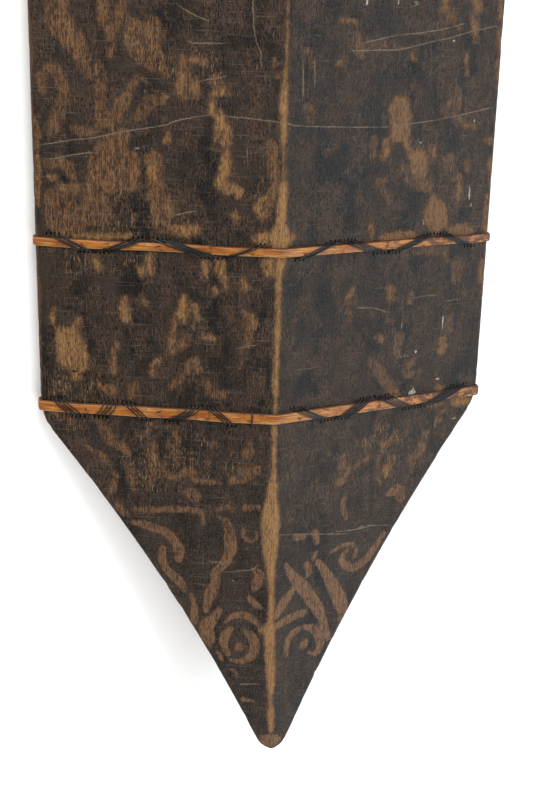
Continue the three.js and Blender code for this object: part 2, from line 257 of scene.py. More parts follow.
# Brown scrolls, broad ones and narrow ones
BROWN_PAINT = (
    # above the inner band, left of the ridge
    ((57, 0, 24), (58, 18, 26), (66, 32, 24), (76, 44, 22), (81, 56, 18), (85, 68, 12),
     (88, 76, 6)),
    ((103, 0, 14), (104, 18, 14), (109, 32, 12), (113, 42, 5)),
    ((110, 52, 8), (109, 60, 6)),
    ((124, 0, 14), (120, 16, 10), (118, 30, 4)),
    ((130, 24, 16), (140, 40, 32), (149, 54, 28), (158, 66, 16), (166, 76, 8)),
    ((152, 22, 14), (160, 36, 10)),
    ((46, 68, 8), (54, 70, 12), (61, 80, 13), (64, 92, 12), (60, 106, 13), (56, 118, 14),
     (52, 132, 10)),
    ((40, 74, 8), (41, 86, 8), (43, 94, 4)),
    ((99, 66, 12), (101, 82, 15), (99, 96, 10), (100, 106, 12), (101, 122, 12), (98, 128, 6)),
    ((142, 75, 7), (133, 83, 8), (129, 92, 8), (122, 104, 16), (114, 116, 14), (110, 126, 8)),
    ((150, 102, 16), (140, 116, 12)),
    ((72, 128, 8), (84, 132, 10), (94, 132, 6)),
    ((122, 136, 18), (112, 146, 24), (104, 160, 28), (100, 180, 32), (98, 205, 34),
     (92, 222, 30)),
    ((60, 200, 32), (62, 220, 34)),
    ((126, 160, 26), (130, 182, 22)),
    ((153, 160, 20), (156, 180, 18), (158, 205, 18), (163, 226, 18)),
    ((48, 164, 10), (58, 162, 10), (68, 166, 12), (73, 176, 10), (76, 190, 10)),
    ((180, 60, 14), (184, 74, 16), (184, 92, 16)),
    ((215, 80, 12), (226, 88, 8)),
    ((275, 60, 7), (277, 76, 6)),
    ((272, 145, 12), (274, 175, 12), (270, 200, 10), (264, 215, 14)),
    ((165, 192, 10), (169, 212, 10)),
    # and right of it
    ((356, 36, 10), (358, 46, 14), (362, 56, 8)),
    ((372, 44, 6), (390, 44, 8), (402, 48, 5)),
    ((443, 8, 12), (446, 18, 14)),
    ((474, 4, 12), (475, 22, 12), (476, 40, 8)),
    ((374, 140, 10), (373, 154, 10)),
    ((457, 92, 10), (456, 106, 14), (446, 108, 12), (458, 122, 8)),
    ((450, 160, 14), (454, 176, 12)),
    ((404, 170, 14), (416, 182, 14), (428, 186, 12)),
    ((382, 188, 8), (390, 198, 8)),
    ((308, 110, 14), (312, 122, 10)),
    ((308, 52, 10), (312, 60, 8)),
    # between the bands
    ((246, 312, 8), (250, 330, 12), (246, 346, 8)),
    ((242, 350, 3), (241, 362, 3), (240, 368, 3)),
    ((100, 384, 8), (112, 390, 10)),
    ((135, 384, 8), (132, 396, 8)),
    ((186, 340, 10), (182, 348, 10)),
    ((182, 378, 8), (172, 386, 9)),
    ((192, 362, 10), (188, 370, 8)),
    ((206, 380, 8), (210, 392, 8), (224, 394, 10)),
    ((450, 316, 9), (448, 330, 9)),
    ((348, 305, 8), (350, 320, 6)),
    ((399, 338, 12), (398, 352, 11)),
    ((412, 362, 9), (404, 370, 9), (412, 375, 9), (419, 372, 6)),
    ((370, 360, 6), (376, 368, 10), (384, 378, 12), (392, 388, 10)),
    ((456, 262, 12), (456, 278, 12)),
    ((404, 252, 12), (422, 250, 10), (444, 250, 9)),
    # the point, left of the ridge
    ((95, 418, 6), (102, 426, 9), (108, 436, 13), (115, 442, 11), (124, 448, 9), (129, 454, 5)),
    ((84, 444, 5), (92, 450, 5), (100, 455, 8), (106, 461, 6)),
    ((150, 424, 8), (148, 432, 6)),
    ((152, 440, 9), (153, 455, 12), (154, 466, 9), (152, 478, 7), (147, 489, 5)),
    ((176, 428, 7), (175, 438, 6), (175, 450, 5), (177, 464, 5)),
    ((132, 464, 6), (131, 478, 7), (134, 490, 6)),
    ((112, 470, 6), (116, 478, 6), (112, 492, 6)),
    ((164, 462, 5), (162, 472, 6), (174, 477, 7), (182, 473, 6), (190, 473, 8), (197, 480, 8),
     (206, 482, 6), (220, 483, 5)),
    ((196, 432, 4), (197, 440, 4)),
    ((214, 442, 5), (211, 450, 4)),
    ((250, 444, 6), (246, 456, 9), (252, 452, 6)),
    ((232, 481, 8), (244, 477, 12), (252, 472, 12), (262, 468, 5)),
    ((183, 493, 2), (189, 493, 9), (195, 496, 13)),
    ((136, 510, 6), (155, 510, 6.5), (180, 509, 7), (199, 511, 6)),
    ((216, 510, 4), (226, 507, 6), (234, 511, 4)),
    ((244, 508, 7), (259, 508, 6)),
    ((202, 514, 5), (203, 524, 5)),
    ((118, 506, 8), (126, 514, 8)),
    ((133, 522, 5), (145, 525, 9), (157, 529, 9), (167, 533, 9), (174, 540, 9), (179, 550, 10),
     (179, 559, 8)),
    ((163, 548, 6), (162, 558, 8), (166, 568, 7), (172, 575, 9), (180, 582, 9), (184, 590, 5)),
    ((192, 594, 4), (194, 606, 6), (194, 620, 8)),
    ((217, 517.5, 3), (224, 518.5, 5), (228.5, 527, 9), (230, 538, 11), (231, 548, 12),
     (228, 558, 10), (222, 566, 9), (216, 573, 9), (215, 583, 9), (211, 592, 12),
     (208, 602, 8), (206, 611, 5)),
    ((219, 610, 6), (214, 618, 9), (207, 626, 14), (208, 636, 12), (211, 646, 5)),
    ((245, 529, 4), (243.5, 536, 3), (249, 541, 5), (256, 540, 3), (257, 532, 3)),
    ((253, 568, 4), (259, 575, 10), (256, 585, 9), (254, 591, 3)),
    ((249, 598, 5), (254, 603, 7), (261, 608, 4)),
    ((225, 622, 3), (234, 616, 6), (243, 615, 8), (252, 619, 8), (259, 626, 4)),
    ((239, 647, 8), (239, 648, 8)),
    ((228, 654, 5), (224, 645, 7), (225, 636, 9), (231, 629, 6)),
    ((245, 631, 5), (252, 637, 9), (255, 646, 9), (251, 656, 9), (241, 661, 6), (231, 660, 4)),
    ((225, 671, 3), (233, 670, 3), (237, 675, 5)),
    ((218, 652, 4), (222, 660, 4)),
    ((243, 699, 5), (254, 701, 3)),
    ((262, 738, 8), (270, 741, 14), (277, 739, 8)),
    # and right of it
    ((286, 565, 5), (291, 574, 8), (298, 582, 11), (305, 590, 12), (312, 600, 12),
     (318, 609, 11), (322, 618, 8), (325, 630, 7), (329, 638, 4)),
    ((295, 588, 5), (290, 594, 7), (284, 602, 9), (279, 611, 8), (276, 618, 4)),
    ((274, 628, 6), (283, 622, 8), (292, 617, 8), (303, 613, 8)),
    ((286, 656, 4), (287, 645, 5), (290, 636, 6), (298, 629.5, 6)),
    ((303, 627, 4), (312, 628, 7), (318, 636, 8), (320, 645, 8), (316, 653, 5), (308, 653, 3)),
    ((304, 643, 8), (303, 646, 7)),
    ((318, 562, 6), (324, 570, 8), (330, 580, 11), (336, 592, 13), (341, 604, 13),
     (342, 612, 8), (339, 622, 4)),
    ((330, 553, 3), (338, 548, 4), (345, 545, 4), (352, 544.5, 4), (356.5, 550, 4),
     (354, 557.5, 4)),
    ((341, 558, 5), (344, 565, 7), (352, 568, 8), (360, 564, 8), (368, 557, 7), (374, 548, 6),
     (384, 533, 4)),
    ((346, 551, 4), (341.5, 557, 4)),
    ((307, 565, 6), (309, 570, 7), (308, 575, 4)),
    ((317, 552, 4), (313, 559, 4)),
    ((296, 537, 7), (303, 537, 6)),
    ((315, 533, 8), (317, 542, 6)),
    ((342, 458, 7), (344, 470, 12), (342, 480, 9), (336, 485, 5)),
    ((370, 457, 5), (360, 462, 5), (355, 467, 3)),
    ((365, 440, 5), (365, 447, 5)),
    ((346, 492, 5), (343, 506, 6), (346, 518, 5)),
    ((383, 445, 8), (392, 440, 6), (396, 432, 5)),
    ((379, 456, 4), (378, 470, 4), (380, 484, 4)),
    ((394, 458, 7), (386, 470, 8)),
    ((412, 454, 6), (412, 464, 6)),
    ((425, 434, 8), (422, 446, 10), (419, 456, 5)),
    ((388, 494, 5), (397, 490, 11), (401, 497, 10)),
    ((442, 412, 6), (436, 424, 7)),
    ((290, 520, 4), (296, 522, 3)),
)

# Dark paint that stands clear between or inside the brown strokes
DARK_PAINT = (
    ((127, 0, 2), (124, 20, 2.5), (121, 36, 3), (118, 56, 4)),
    ((104, 60, 6), (118, 64, 10), (132, 68, 9), (144, 72, 6), (154, 82, 8), (163, 94, 9)),
    ((50, 79, 5), (51, 92, 8)),
    ((64, 177, 6), (66, 183, 7)),
    ((98, 186, 3), (104, 193, 4), (112, 200, 4), (113, 214, 4)),
    ((114, 195, 3), (127, 192, 3), (139, 197, 3), (144, 208, 3), (143, 222, 3)),
    ((88, 229, 7), (110, 230, 8), (132, 229, 8)),
    ((37, 206, 6), (39, 232, 8)),
    ((50, 147, 10), (70, 150, 12), (88, 147, 9)),
    ((80, 158, 13), (81, 170, 11), (79, 182, 5)),
    ((240, 128, 12), (239, 150, 14), (241, 168, 14)),
    ((256, 200, 6), (247, 207, 7), (240, 212, 8)),
    ((162, 104, 8), (168, 108, 8)),
    ((174, 119, 11), (206, 119, 9)),
    ((44, 262, 10), (42, 300, 8), (45, 340, 6)),
    ((177, 362, 9), (190, 352, 9), (204, 347, 7)),
    ((110, 284, 20), (135, 286, 18)),
)

# Narrow cracks and gouges, not cut into the board: painted shade of their depth, very dark, along
# them
CRACK_SHADE_STROKES = (
    ((158.5, 258, 2.4), (160, 265, 3), (159, 273, 2.2)),
    ((355, 253, 3), (355, 263, 2)),
    ((68, 342, 2), (68, 348, 3)),
    ((73, 371, 3), (77, 371, 2.6)),
    ((230, 673, 3.5), (230, 676, 3.5)),
    ((310, 644, 4), (310.5, 647, 3)),
    ((327.5, 92.5, 2.4), (327.5, 96, 2.4)),
    ((411, 60.5, 2.6), (411, 63, 2.4)),
    ((352, 17, 3.5), (357, 18, 3)),
    ((325, 272.5, 2.4), (325, 276, 2.4)),
    ((436, 401, 3), (437, 403, 3)),
    ((63, 177, 5), (66, 182, 5)),
    ((291.5, 0, 1.6), (291.5, 60, 1.2)),
    ((277, 731, 3), (278, 736, 3)),
)

# Patches and streaks rubbed down to the wood
BARE_WOOD = (
    ((212, 104, 5), (211, 112, 7)),
    ((219, 114, 7), (220, 122, 11), (217, 130, 4), (216, 142, 3)),
    ((226, 128, 8), (227, 142, 6), (226, 152, 5), (226, 162, 8), (225, 172, 10), (220, 182, 9),
     (228, 188, 10), (238, 190, 8), (237, 198, 3)),
    ((211, 96, 3), (219, 92, 4), (228, 94, 3)),
    ((235, 214, 5), (236, 220, 5)),
    ((266, 198, 5), (258, 206, 7), (262, 214, 7)),
    ((175, 230, 9), (188, 231, 10), (197, 229, 7)),
    ((76, 236, 4), (100, 237, 5), (129, 236, 4)),
    ((258, 239, 9), (275, 239, 13), (292, 238, 9)),
    ((165, 97, 3), (161, 103, 3)),
    ((183, 61, 3), (196, 60, 3.5), (205, 62, 3)),
    ((182, 74, 4), (181, 84, 5), (178, 93, 5)),
    ((195, 80, 5), (196, 94, 6)),
    ((63, 187, 6), (71, 187, 4)),
    ((50, 177, 5), (54, 178, 4)),
    ((168, 133, 3), (167, 141, 4)),
    ((152, 166, 7), (153, 178, 7)),
    ((36, 118, 2), (37, 150, 2.5), (38, 180, 3), (38, 204, 2)),
    ((168, 208, 5), (170, 214, 5)),
    ((400, 107, 21), (401, 122, 21), (397, 136, 14)),
    ((405, 134, 10), (408, 146, 8), (412, 156, 9)),
    ((420, 157, 15), (420, 166, 18), (423, 174, 6)),
    ((433, 147, 5), (434, 157, 4)),
    ((433, 197, 4), (434, 206, 14), (436, 215, 24), (438, 221, 20)),
    ((339, 61.5, 6), (343, 60, 4)),
    ((341, 20, 3), (350, 20, 4.5), (357, 23.5, 2.5)),
    ((477, 0, 8), (479, 9, 7)),
    ((474, 22, 5), (476, 34, 5)),
    ((447, 4, 4), (444, 9, 6)),
    ((453, 12, 2.5), (454, 22, 2.5)),
    ((466, 55, 2.5), (467, 66, 3), (468, 74, 3)),
    ((413, 50, 3), (414, 58, 4)),
    ((460, 118, 3), (465, 125, 3), (477, 127, 3)),
    ((459, 178, 3.5), (459, 190, 5), (458, 202, 2.5)),
    ((466, 164, 5), (468, 170, 3.5)),
    ((386, 142, 6), (386, 152, 8), (383, 158, 5)),
    ((378, 181, 3.5), (383, 181, 4)),
    ((500, 30, 4), (500, 44, 6)),
    ((498, 62, 4), (498, 78, 4)),
    ((486, 140, 3), (491, 141, 6)),
    ((490, 161, 5), (490, 171, 3)),
    ((487, 196, 4), (486, 230, 5)),
    ((501, 0, 4), (501, 18, 4)),
    ((450, 230, 6), (462, 230, 11), (472, 231, 5)),
    ((383, 238, 7), (398, 237, 9), (413, 235, 7)),
    ((371, 226, 3), (371, 237, 4)),
    ((150, 256, 6), (150, 266, 6), (151, 273, 3)),
    ((141, 267, 4), (142, 275, 4)),
    ((95, 258, 5), (99, 268, 4)),
    ((124, 300, 5), (125, 310, 9), (126, 318, 8)),
    ((183, 298, 5), (184, 306, 9), (182, 315, 8), (183, 321, 3)),
    ((174, 318, 3), (173, 330, 4), (172, 345, 4), (173, 352, 3)),
    ((205, 262, 5), (206, 269, 7), (205, 275, 4)),
    ((220, 262, 8), (220, 270, 9), (224, 278, 5), (225, 287, 4)),
    ((243, 280, 3), (245, 288, 6)),
    ((215, 288, 3), (216, 293, 3)),
    ((268, 262, 12), (270, 270, 12)),
    ((62, 332, 11), (64, 345, 15), (66, 360, 15)),
    ((71, 334, 14), (76, 352, 22), (79, 362, 18)),
    ((76, 372, 11), (76, 376, 8)),
    ((78, 320, 5), (76, 329, 4)),
    ((117, 344, 4), (116, 349, 4)),
    ((114, 353, 3), (113, 362, 4), (114, 372, 4)),
    ((157, 361, 5), (152, 366, 3)),
    ((152, 371, 4), (153, 374, 3)),
    ((197, 359, 3), (198, 370, 5)),
    ((204, 337, 3), (213, 338, 4.5)),
    ((254, 316, 2.5), (254, 326, 4)),
    ((145, 302, 4), (147, 303, 3)),
    ((195, 305, 4), (198, 318, 3)),
    ((53, 308, 2.5), (53, 323, 2.5)),
    ((353, 289, 5), (348, 298, 5)),
    ((390, 289, 7), (391, 296, 5), (391, 303, 2)),
    ((411, 292, 2), (411, 301, 3.5)),
    ((442, 339, 7), (442, 350, 7)),
    ((377, 337, 4), (382, 339, 5)),
    ((481, 262, 4), (481, 280, 4)),
    ((445, 252, 3), (446, 262, 3)),
    ((456, 401, 9), (466, 401, 8)),
    ((438, 388, 6), (443, 389, 4)),
    ((390, 391, 5), (399, 396, 4)),
    ((428, 405, 3.5), (440, 404, 4)),
    ((50, 408, 5), (57, 412, 4)),
    ((386, 469, 5), (387, 474, 5)),
    ((264, 630, 8), (270, 629, 8)),
)

# Small pale marks
CHALK = (
    ((136, 149, 3), (138, 149, 3)),
    ((152, 146, 1.5), (152.5, 148, 2)),
    ((213, 53, 2.6), (213.3, 53, 2.6)),
    ((319, 13.5, 2), (319, 14.5, 2)),
    ((366.5, 1, 2), (367, 4, 3)),
    ((398, 0, 1.6), (399, 6, 1.8)),
    ((453, 40.5, 2), (455, 42, 2.4)),
    ((410.5, 67, 2), (410, 70, 2)),
    ((417, 140, 1.6), (424, 145.5, 2.2)),
    ((469, 184, 1.2), (469.5, 196, 2), (471, 206, 1.4)),
    ((473, 118, 1.6), (475.5, 122.5, 1.6)),
    ((421.5, 218, 2), (424.5, 224, 2.4)),
    ((343, 202, 2.2), (343, 203, 2.2)),
    ((394, 162, 2), (395, 162, 2)),
    ((354, 136, 2.4), (354, 138, 2)),
    ((401, 356.5, 2), (404, 355, 2.4), (409, 355, 2.2)),
    ((415, 350, 1.8), (416.5, 353, 2.6)),
    ((443, 316, 1.6), (443, 330, 1.4)),
    ((401, 313, 1.4), (401.5, 328, 1.6)),
    ((436.5, 379.5, 2.6), (439, 379.5, 2.6)),
    ((409, 394, 2.5), (412, 392, 4.5), (414.5, 392, 3)),
    ((412, 387, 3), (413, 388, 3)),
    ((279, 733.5, 1.6), (281.5, 733.5, 2.6)),
    ((263.5, 379.5, 1.8), (264, 379.5, 1.8)),
    ((233, 580, 1.4), (233, 581.5, 1.4)),
    ((236, 505, 1.4), (236, 506, 1.6)),
    ((292, 349, 1.5), (292.5, 349, 1.5)),
    ((365, 337, 1.6), (365.5, 337, 1.6)),
    ((311, 450.5, 1.3), (311.5, 451, 1.3)),
    ((346, 433.5, 1.5), (346.3, 434, 1.5)),
    ((327, 493, 1.3), (327.5, 493.5, 1.3)),
    ((371, 411.5, 1.5), (371.3, 413.5, 1.5)),
    ((450, 417, 2), (455, 418, 2.5)),
)

# Wide soft places where the paint has gone in small flecks
SPECKLED = (
    ((52, 262, 20), (75, 262, 34), (100, 264, 30), (125, 264, 30), (150, 264, 24)),
    ((64, 225, 36), (110, 225, 30), (160, 218, 34), (195, 228, 24)),
    ((250, 155, 20), (262, 172, 26), (258, 190, 20)),
    ((185, 70, 36), (210, 66, 26), (220, 86, 24)),
    ((60, 20, 30), (80, 50, 26)),
    ((145, 40, 44), (155, 56, 24)),
    ((100, 170, 50), (120, 180, 50)),
    ((216, 100, 20), (222, 112, 20)),
    ((70, 385, 50), (100, 390, 30)),
    ((196, 312, 20), (200, 330, 16)),
    ((440, 30, 30), (470, 20, 26)),
    ((455, 165, 34), (458, 190, 24)),
    ((410, 178, 34), (430, 182, 30)),
    ((420, 240, 20), (450, 242, 24)),
    ((185, 450, 50), (240, 470, 40)),
    ((140, 450, 40), (150, 480, 30)),
    ((60, 420, 24), (90, 424, 20)),
    ((205, 630, 30), (215, 640, 20)),
    ((380, 440, 40), (400, 450, 30)),
)

# Bare wood along the ridge
RIDGE_STRIPE = (
    (288.5, 0, 1.5), (288, 20, 1.5), (288, 34, 3), (287.5, 60, 3), (286, 78, 3), (285.5, 86, 6),
    (284, 100, 9), (284, 120, 7.5), (284, 140, 7), (284.5, 150, 4), (284.5, 180, 4),
    (284, 188, 10), (282.5, 205, 10), (281.5, 225, 11), (281, 236, 20), (281, 247, 16),
    (281, 262, 11), (279, 275, 7), (278.5, 300, 5.5), (277.5, 340, 6), (276.5, 360, 5.5),
    (275.5, 385, 6.5), (276, 398, 4), (276, 412, 4.5), (275, 430, 6), (274.5, 445, 4.5),
    (274, 470, 5), (273.5, 478, 7), (272.5, 492, 10), (271.5, 505, 13), (271, 520, 18),
    (271, 535, 17), (270.5, 550, 14), (271, 565, 10), (271.5, 580, 6.5), (271.5, 605, 6),
    (271, 622, 7), (270, 632, 10), (270, 655, 9), (271, 675, 9), (271, 690, 6), (271, 702, 3),
    (271, 712, 6), (271, 728, 5), (270.5, 736, 5),
)

# Thin lines through (across, down), in two groups so that lines that cross are apart
SCRATCHES = (
    (
        ((46, 144), (70, 140), (98, 137), (120, 132), (165, 125), (175, 121), (210, 115),
         (235, 117), (255, 119), (285, 123), (300, 126), (345, 127), (385, 127), (400, 125),
         (430, 121), (460, 115), (490, 108)),
        ((367, 42), (385, 38), (400, 35), (420, 33), (449, 28), (463, 24)),
        ((192, 43), (222, 43)),
        ((178, 5), (193, 14), (205, 19)),
        ((281, 535), (300, 534.5), (346, 534)),
        ((360, 308), (373, 308), (384, 311)),
        ((415, 298), (424, 296), (434, 295)),
        ((214, 562), (232, 562)),
        ((303, 62), (303.5, 78), (303, 97)),
        ((240, 571), (252, 570), (256, 567)),
        ((315, 63), (315, 88)),
    ),
    (
        ((352, 51), (380, 50), (400, 49.5), (415, 46), (435, 41), (450, 38), (470, 32),
         (496, 26)),
        ((253, 0), (254, 25), (256, 40), (261, 53), (261, 63)),
        ((50, 159), (66, 156), (90, 152)),
        ((200, 81), (222, 77)),
        ((448, 301), (457, 299)),
        ((240, 348), (254, 345)),
        ((337, 532), (352, 530), (364, 528)),
        ((361, 526), (386, 525)),
        ((416, 5), (424, 2.5)),
        ((242, 684), (256, 684)),
        ((176, 215), (193, 211)),
        ((226, 572), (240, 571)),
    ),
)

PHOTO_TOP_Y = 48.0
OUTER_BAND_Y = 295.0
SCRATCH_REACH = 3.0


def shown_y(y):
    """Past the photograph's top edge the board repeats the lower half, turned over."""
    return np.interp(y, (-TIP_Y, PHOTO_TOP_Y, OUTER_BAND_Y, TIP_Y),
                     (-TIP_Y, PHOTO_TOP_Y, -OUTER_BAND_Y, -TIP_Y))


def side_distance(at, lines):
    """Signed distance to the nearest of several thin lines, and how present the line is."""
    signed = np.full(len(at), FAR)
    for line in lines:
        points = on_board(smooth_line(line))
        for start, end in zip(points, points[1:]):
            run = end - start
            length = np.hypot(*run)
            share = ((at - start) @ run) / length ** 2
            held = np.clip(share, 0, 1)
            gap = at - start - held[:, None] * run
            beside = (gap[:, 0] * run[1] - gap[:, 1] * run[0]) / length
            distance = np.hypot(*gap.T)
            closer = distance < np.abs(signed)
            sign = np.where(beside < 0, -1.0, 1.0)
            signed = np.where(closer, distance * sign, signed)
    presence = np.clip(1 - (np.abs(signed) - SCRATCH_REACH) / SCRATCH_REACH, 0, 1)
    return signed, presence


# Meshes

def make_object(name, vertices, faces, materials=(), smooth_angle=40):
    mesh = bpy.data.meshes.new(name)
    mesh.from_pydata((np.asarray(vertices) * MM).tolist(), [], faces)
    mesh.validate()
    made = bpy.data.objects.new(name, mesh)
    bpy.context.scene.collection.objects.link(made)
    for material in materials:
        mesh.materials.append(material)
    shade(made, smooth_angle)
    return made


def shade(made, smooth_angle):
    made.data.shade_smooth()
    if smooth_angle:
        made.data.set_sharp_from_angle(angle=math.radians(smooth_angle))


def loft(rings):
    """Vertices and faces of a closed tube through rings with the same number of points."""
    count = len(rings[0])
    faces = []
    for r in range(len(rings) - 1):
        for i in range(count):
            a = r * count + i
            b = r * count + (i + 1) % count
            faces.append((a, b, b + count, a + count))
    last = (len(rings) - 1) * count
    faces.append(tuple(reversed(range(count))))
    faces.append(tuple(range(last, last + count)))
    return np.vstack(rings), faces


def joined(parts):
    """Several (vertices, faces) as one."""
    vertices = []
    faces = []
    total = 0
    for points, sides in parts:
        vertices.append(points)
        faces.extend(tuple(i + total for i in side) for side in sides)
        total += len(points)
    return np.vstack(vertices), faces


def combine(target, other, operation):
    """A boolean with another object, which is used up."""
    step = target.modifiers.new(operation, "BOOLEAN")
    step.operation = operation
    step.object = other
    step.solver = "MANIFOLD"
    bpy.context.view_layer.update()
    graph = bpy.context.evaluated_depsgraph_get()
    mesh = bpy.data.meshes.new_from_object(target.evaluated_get(graph))
    target.modifiers.clear()
    old = target.data
    target.data = mesh
    bpy.data.meshes.remove(old)
    used = other.data
    bpy.data.objects.remove(other)
    bpy.data.meshes.remove(used)


# The board

ROW_STEP = 3.2
FRONT_COLUMNS = 76
BACK_COLUMNS = 16
EVEN_ROWS_TO = 600.0
TIP_BLUNTNESS = 1.5
TOOL_MARKS = ((0.35, 55, 120, 11), (0.16, 21, 60, 12), (0.06, 7, 26, 13))
ADZE_MARKS = ((0.16, 17, 42, 14), (0.05, 8, 19, 15))
KNOCK_ON_SIDE = 0.7
KNOCK_ON_POINT = 1.5
KNOCK_LENGTH = 6.0
CHIP_LENGTH = 9.0
LEAST_CHIP = 0.25
FURTHER_CHIP = 0.6
LOWER_CHAMFER = 0.8
BACK_CROWDING = 1.4
BACK_INSET = 2.0


def board_rows():
    """Where the rings stand along the board, closer together at the two tips."""
    straight = np.arange(-EVEN_ROWS_TO, EVEN_ROWS_TO + 0.1, ROW_STEP)
    tip = OUTLINE[1 - TIP_POINTS:]
    tip = tip[(tip[:, 1] > EVEN_ROWS_TO + 1) & (tip[:, 0] > TIP_BLUNTNESS)][:, 1]
    return np.concatenate([-tip[::-1], straight, tip])


def nick(y, seed):
    """How deep small knocks have bitten into the outline, more along the points."""
    deep = KNOCK_ON_POINT if abs(y) > CORNER_Y else KNOCK_ON_SIDE
    return deep * max(0.0, float(noise(y / KNOCK_LENGTH, 5.5, seed)) - 0.1) ** 1.3


def chipping(y, row, seed):
    """How far the front's arris is broken away."""
    return LEAST_CHIP + FURTHER_CHIP * max(0.0, float(noise(y / CHIP_LENGTH, row, seed))) ** 2


def side_points(width, arris, top, chip, base):
    """Down the right side, from the front's arris to the back's."""
    return np.array([
        (width - arris * 0.45, top - arris * 0.08 - chip * 0.3),
        (width - arris * 0.1 - chip * 0.15, top - arris * 0.45 - chip * 0.4),
        (width, top - arris - chip),
        (width, base + (top - base) * 0.4),
        (width, base + LOWER_CHAMFER),
        (width - LOWER_CHAMFER, base),
    ])


def board_ring(y):
    """The board's section at one place, from the front's left edge round to it again."""
    whole = float(half_width(y))
    middle = float(np.clip(ridge_x(y), -whole * 0.5, whole * 0.5))
    arris = min(ARRIS, whole * 0.3)
    share = np.linspace(0, 1, FRONT_COLUMNS + 1)
    right = whole - min(nick(y, 23), whole * 0.1)
    left = whole - min(nick(y, 24), whole * 0.1)
    to_right = middle + (right - arris - middle) * share
    to_left = middle - (left - arris + middle) * share
    front_x = np.concatenate([to_left[::-1], to_right[1:]])
    front = np.column_stack([front_x, front_z(front_x, y) + waves(front_x, y, TOOL_MARKS)])
    base = float(back_z(right))
    right_side = side_points(right, arris, float(front_z(right, y)), chipping(y, 3.3, 21), base)
    left_side = side_points(left, arris, float(front_z(-left, y)), chipping(y, 7.7, 22), base)
    left_side = left_side[::-1] * [-1, 1]
    inner = np.linspace(0, 1, BACK_COLUMNS + 1) ** BACK_CROWDING * (right - BACK_INSET)
    back_x = np.concatenate([inner[::-1], -inner[1:]])
    back = np.column_stack([back_x, back_z(back_x) + waves(back_x, y, ADZE_MARKS)])
    section = np.vstack([front, right_side, back, left_side])
    return np.column_stack([section[:, 0], np.full(len(section), y), section[:, 1]])


GRIP_LENGTH = 236.0
GRIP_REACH = 168.0
FINGER_LENGTH = 132.0
FINGER_GAP = 32.0
BAR_THICKNESS = 20.0
BAR_WIDTH = 30.0
GRIP_END_WIDTH = 44.0
GRIP_ROOTING = 5.0
GAP_ROUNDING = 10.0
FOOT_BLEND = 12.0
GRIP_ROWS = 60
GRIP_SIDES = 28
GRIP_SQUARENESS = 0.62


def squared(value):
    """A circle's coordinate, pushed out towards a square's."""
    return np.sign(value) * np.abs(value) ** GRIP_SQUARENESS


def grip_mesh():
    """The bar left standing in the hollow, lofted along the board from foot to foot."""
    hollow = float(back_z(0))
    top = hollow - FINGER_GAP
    bottom = top - BAR_THICKNESS
    foot = GRIP_LENGTH / 2
    gap = FINGER_LENGTH / 2
    near_gap = gap - np.array([-0.05, 0.05, 1, 2.5, 4.5, 7, 10])
    stations = np.unique(np.concatenate([
        np.linspace(-foot, foot, GRIP_ROWS), near_gap, -near_gap]))
    rings = []
    for y in stations:
        reach = abs(y)
        waist = BAR_WIDTH / 2 + (GRIP_END_WIDTH - BAR_WIDTH) / 2 * (reach / foot) ** 2
        blend = GRIP_REACH / 2 + np.array([-FOOT_BLEND, 0, FOOT_BLEND])
        low = bottom + np.interp(
            reach, (*blend, foot), (0, 2, 11, hollow - bottom - GRIP_ROOTING))
        if reach > gap:
            high = hollow + GRIP_ROOTING
        else:
            into = max(0.0, reach - (gap - GAP_ROUNDING)) / GAP_ROUNDING
            high = top + GAP_ROUNDING * (1 - math.sqrt(max(0.0, 1 - into ** 2)))
        middle = (low + high) / 2
        half = (high - low) / 2
        turn = np.linspace(0, 2 * math.pi, GRIP_SIDES, endpoint=False)
        across = squared(np.cos(turn)) * waist
        up = squared(np.sin(turn)) * half
        rings.append(np.column_stack([across, np.full(GRIP_SIDES, y), middle + up]))
    return loft([ring[::-1] for ring in rings])


# The lacing: where each bundle of strands starts and ends, as shares of the half width

STRAND_PITCH = 3.4
ROW_CLEARANCE = 2.4
BAND_TILT = 2.0
SEAT = 0.3
OUTER_STITCHES = (
    # at the top row, at the bottom row, strands
    (-0.935, -0.845, 4), (-0.705, -0.75, 4), (-0.64, -0.56, 3), (-0.35, -0.455, 4),
    (-0.29, -0.205, 3), (-0.126, -0.126, 1), (0.07, 0.22, 4), (0.418, 0.295, 5),
    (0.495, 0.64, 5), (0.9, 0.728, 6),
)
INNER_STITCHES = (
    (-0.93, -0.795, 4), (-0.58, -0.733, 4), (-0.5, -0.295, 6), (-0.092, -0.245, 2),
    (0.23, 0.065, 3), (0.29, 0.453, 5), (0.69, 0.52, 4), (0.756, 0.905, 4),
)
BANDS = (
    # name, place along the shield, width, stitches
    ("lower_outer", -295.0, 10.5, OUTER_STITCHES),
    ("lower_inner", -150.5, 8.5, INNER_STITCHES),
    ("upper_inner", 150.5, 8.5, INNER_STITCHES),
    ("upper_outer", 295.0, 10.5, OUTER_STITCHES),
)
HOLE_WIDTH = 1.5
HOLE_LENGTH = 3.2
HOLE_SIDES = 10
HOLE_FROM = -5.0
HOLE_TO = 90.0


def band_line(middle, x):
    return middle - BAND_TILT * x / HALF_WIDTH


def stitch_holes(share, strands):
    """Where a bundle's strands pass through the board, across it."""
    offsets = (np.arange(strands) - (strands - 1) / 2) * STRAND_PITCH
    return share * HALF_WIDTH + offsets


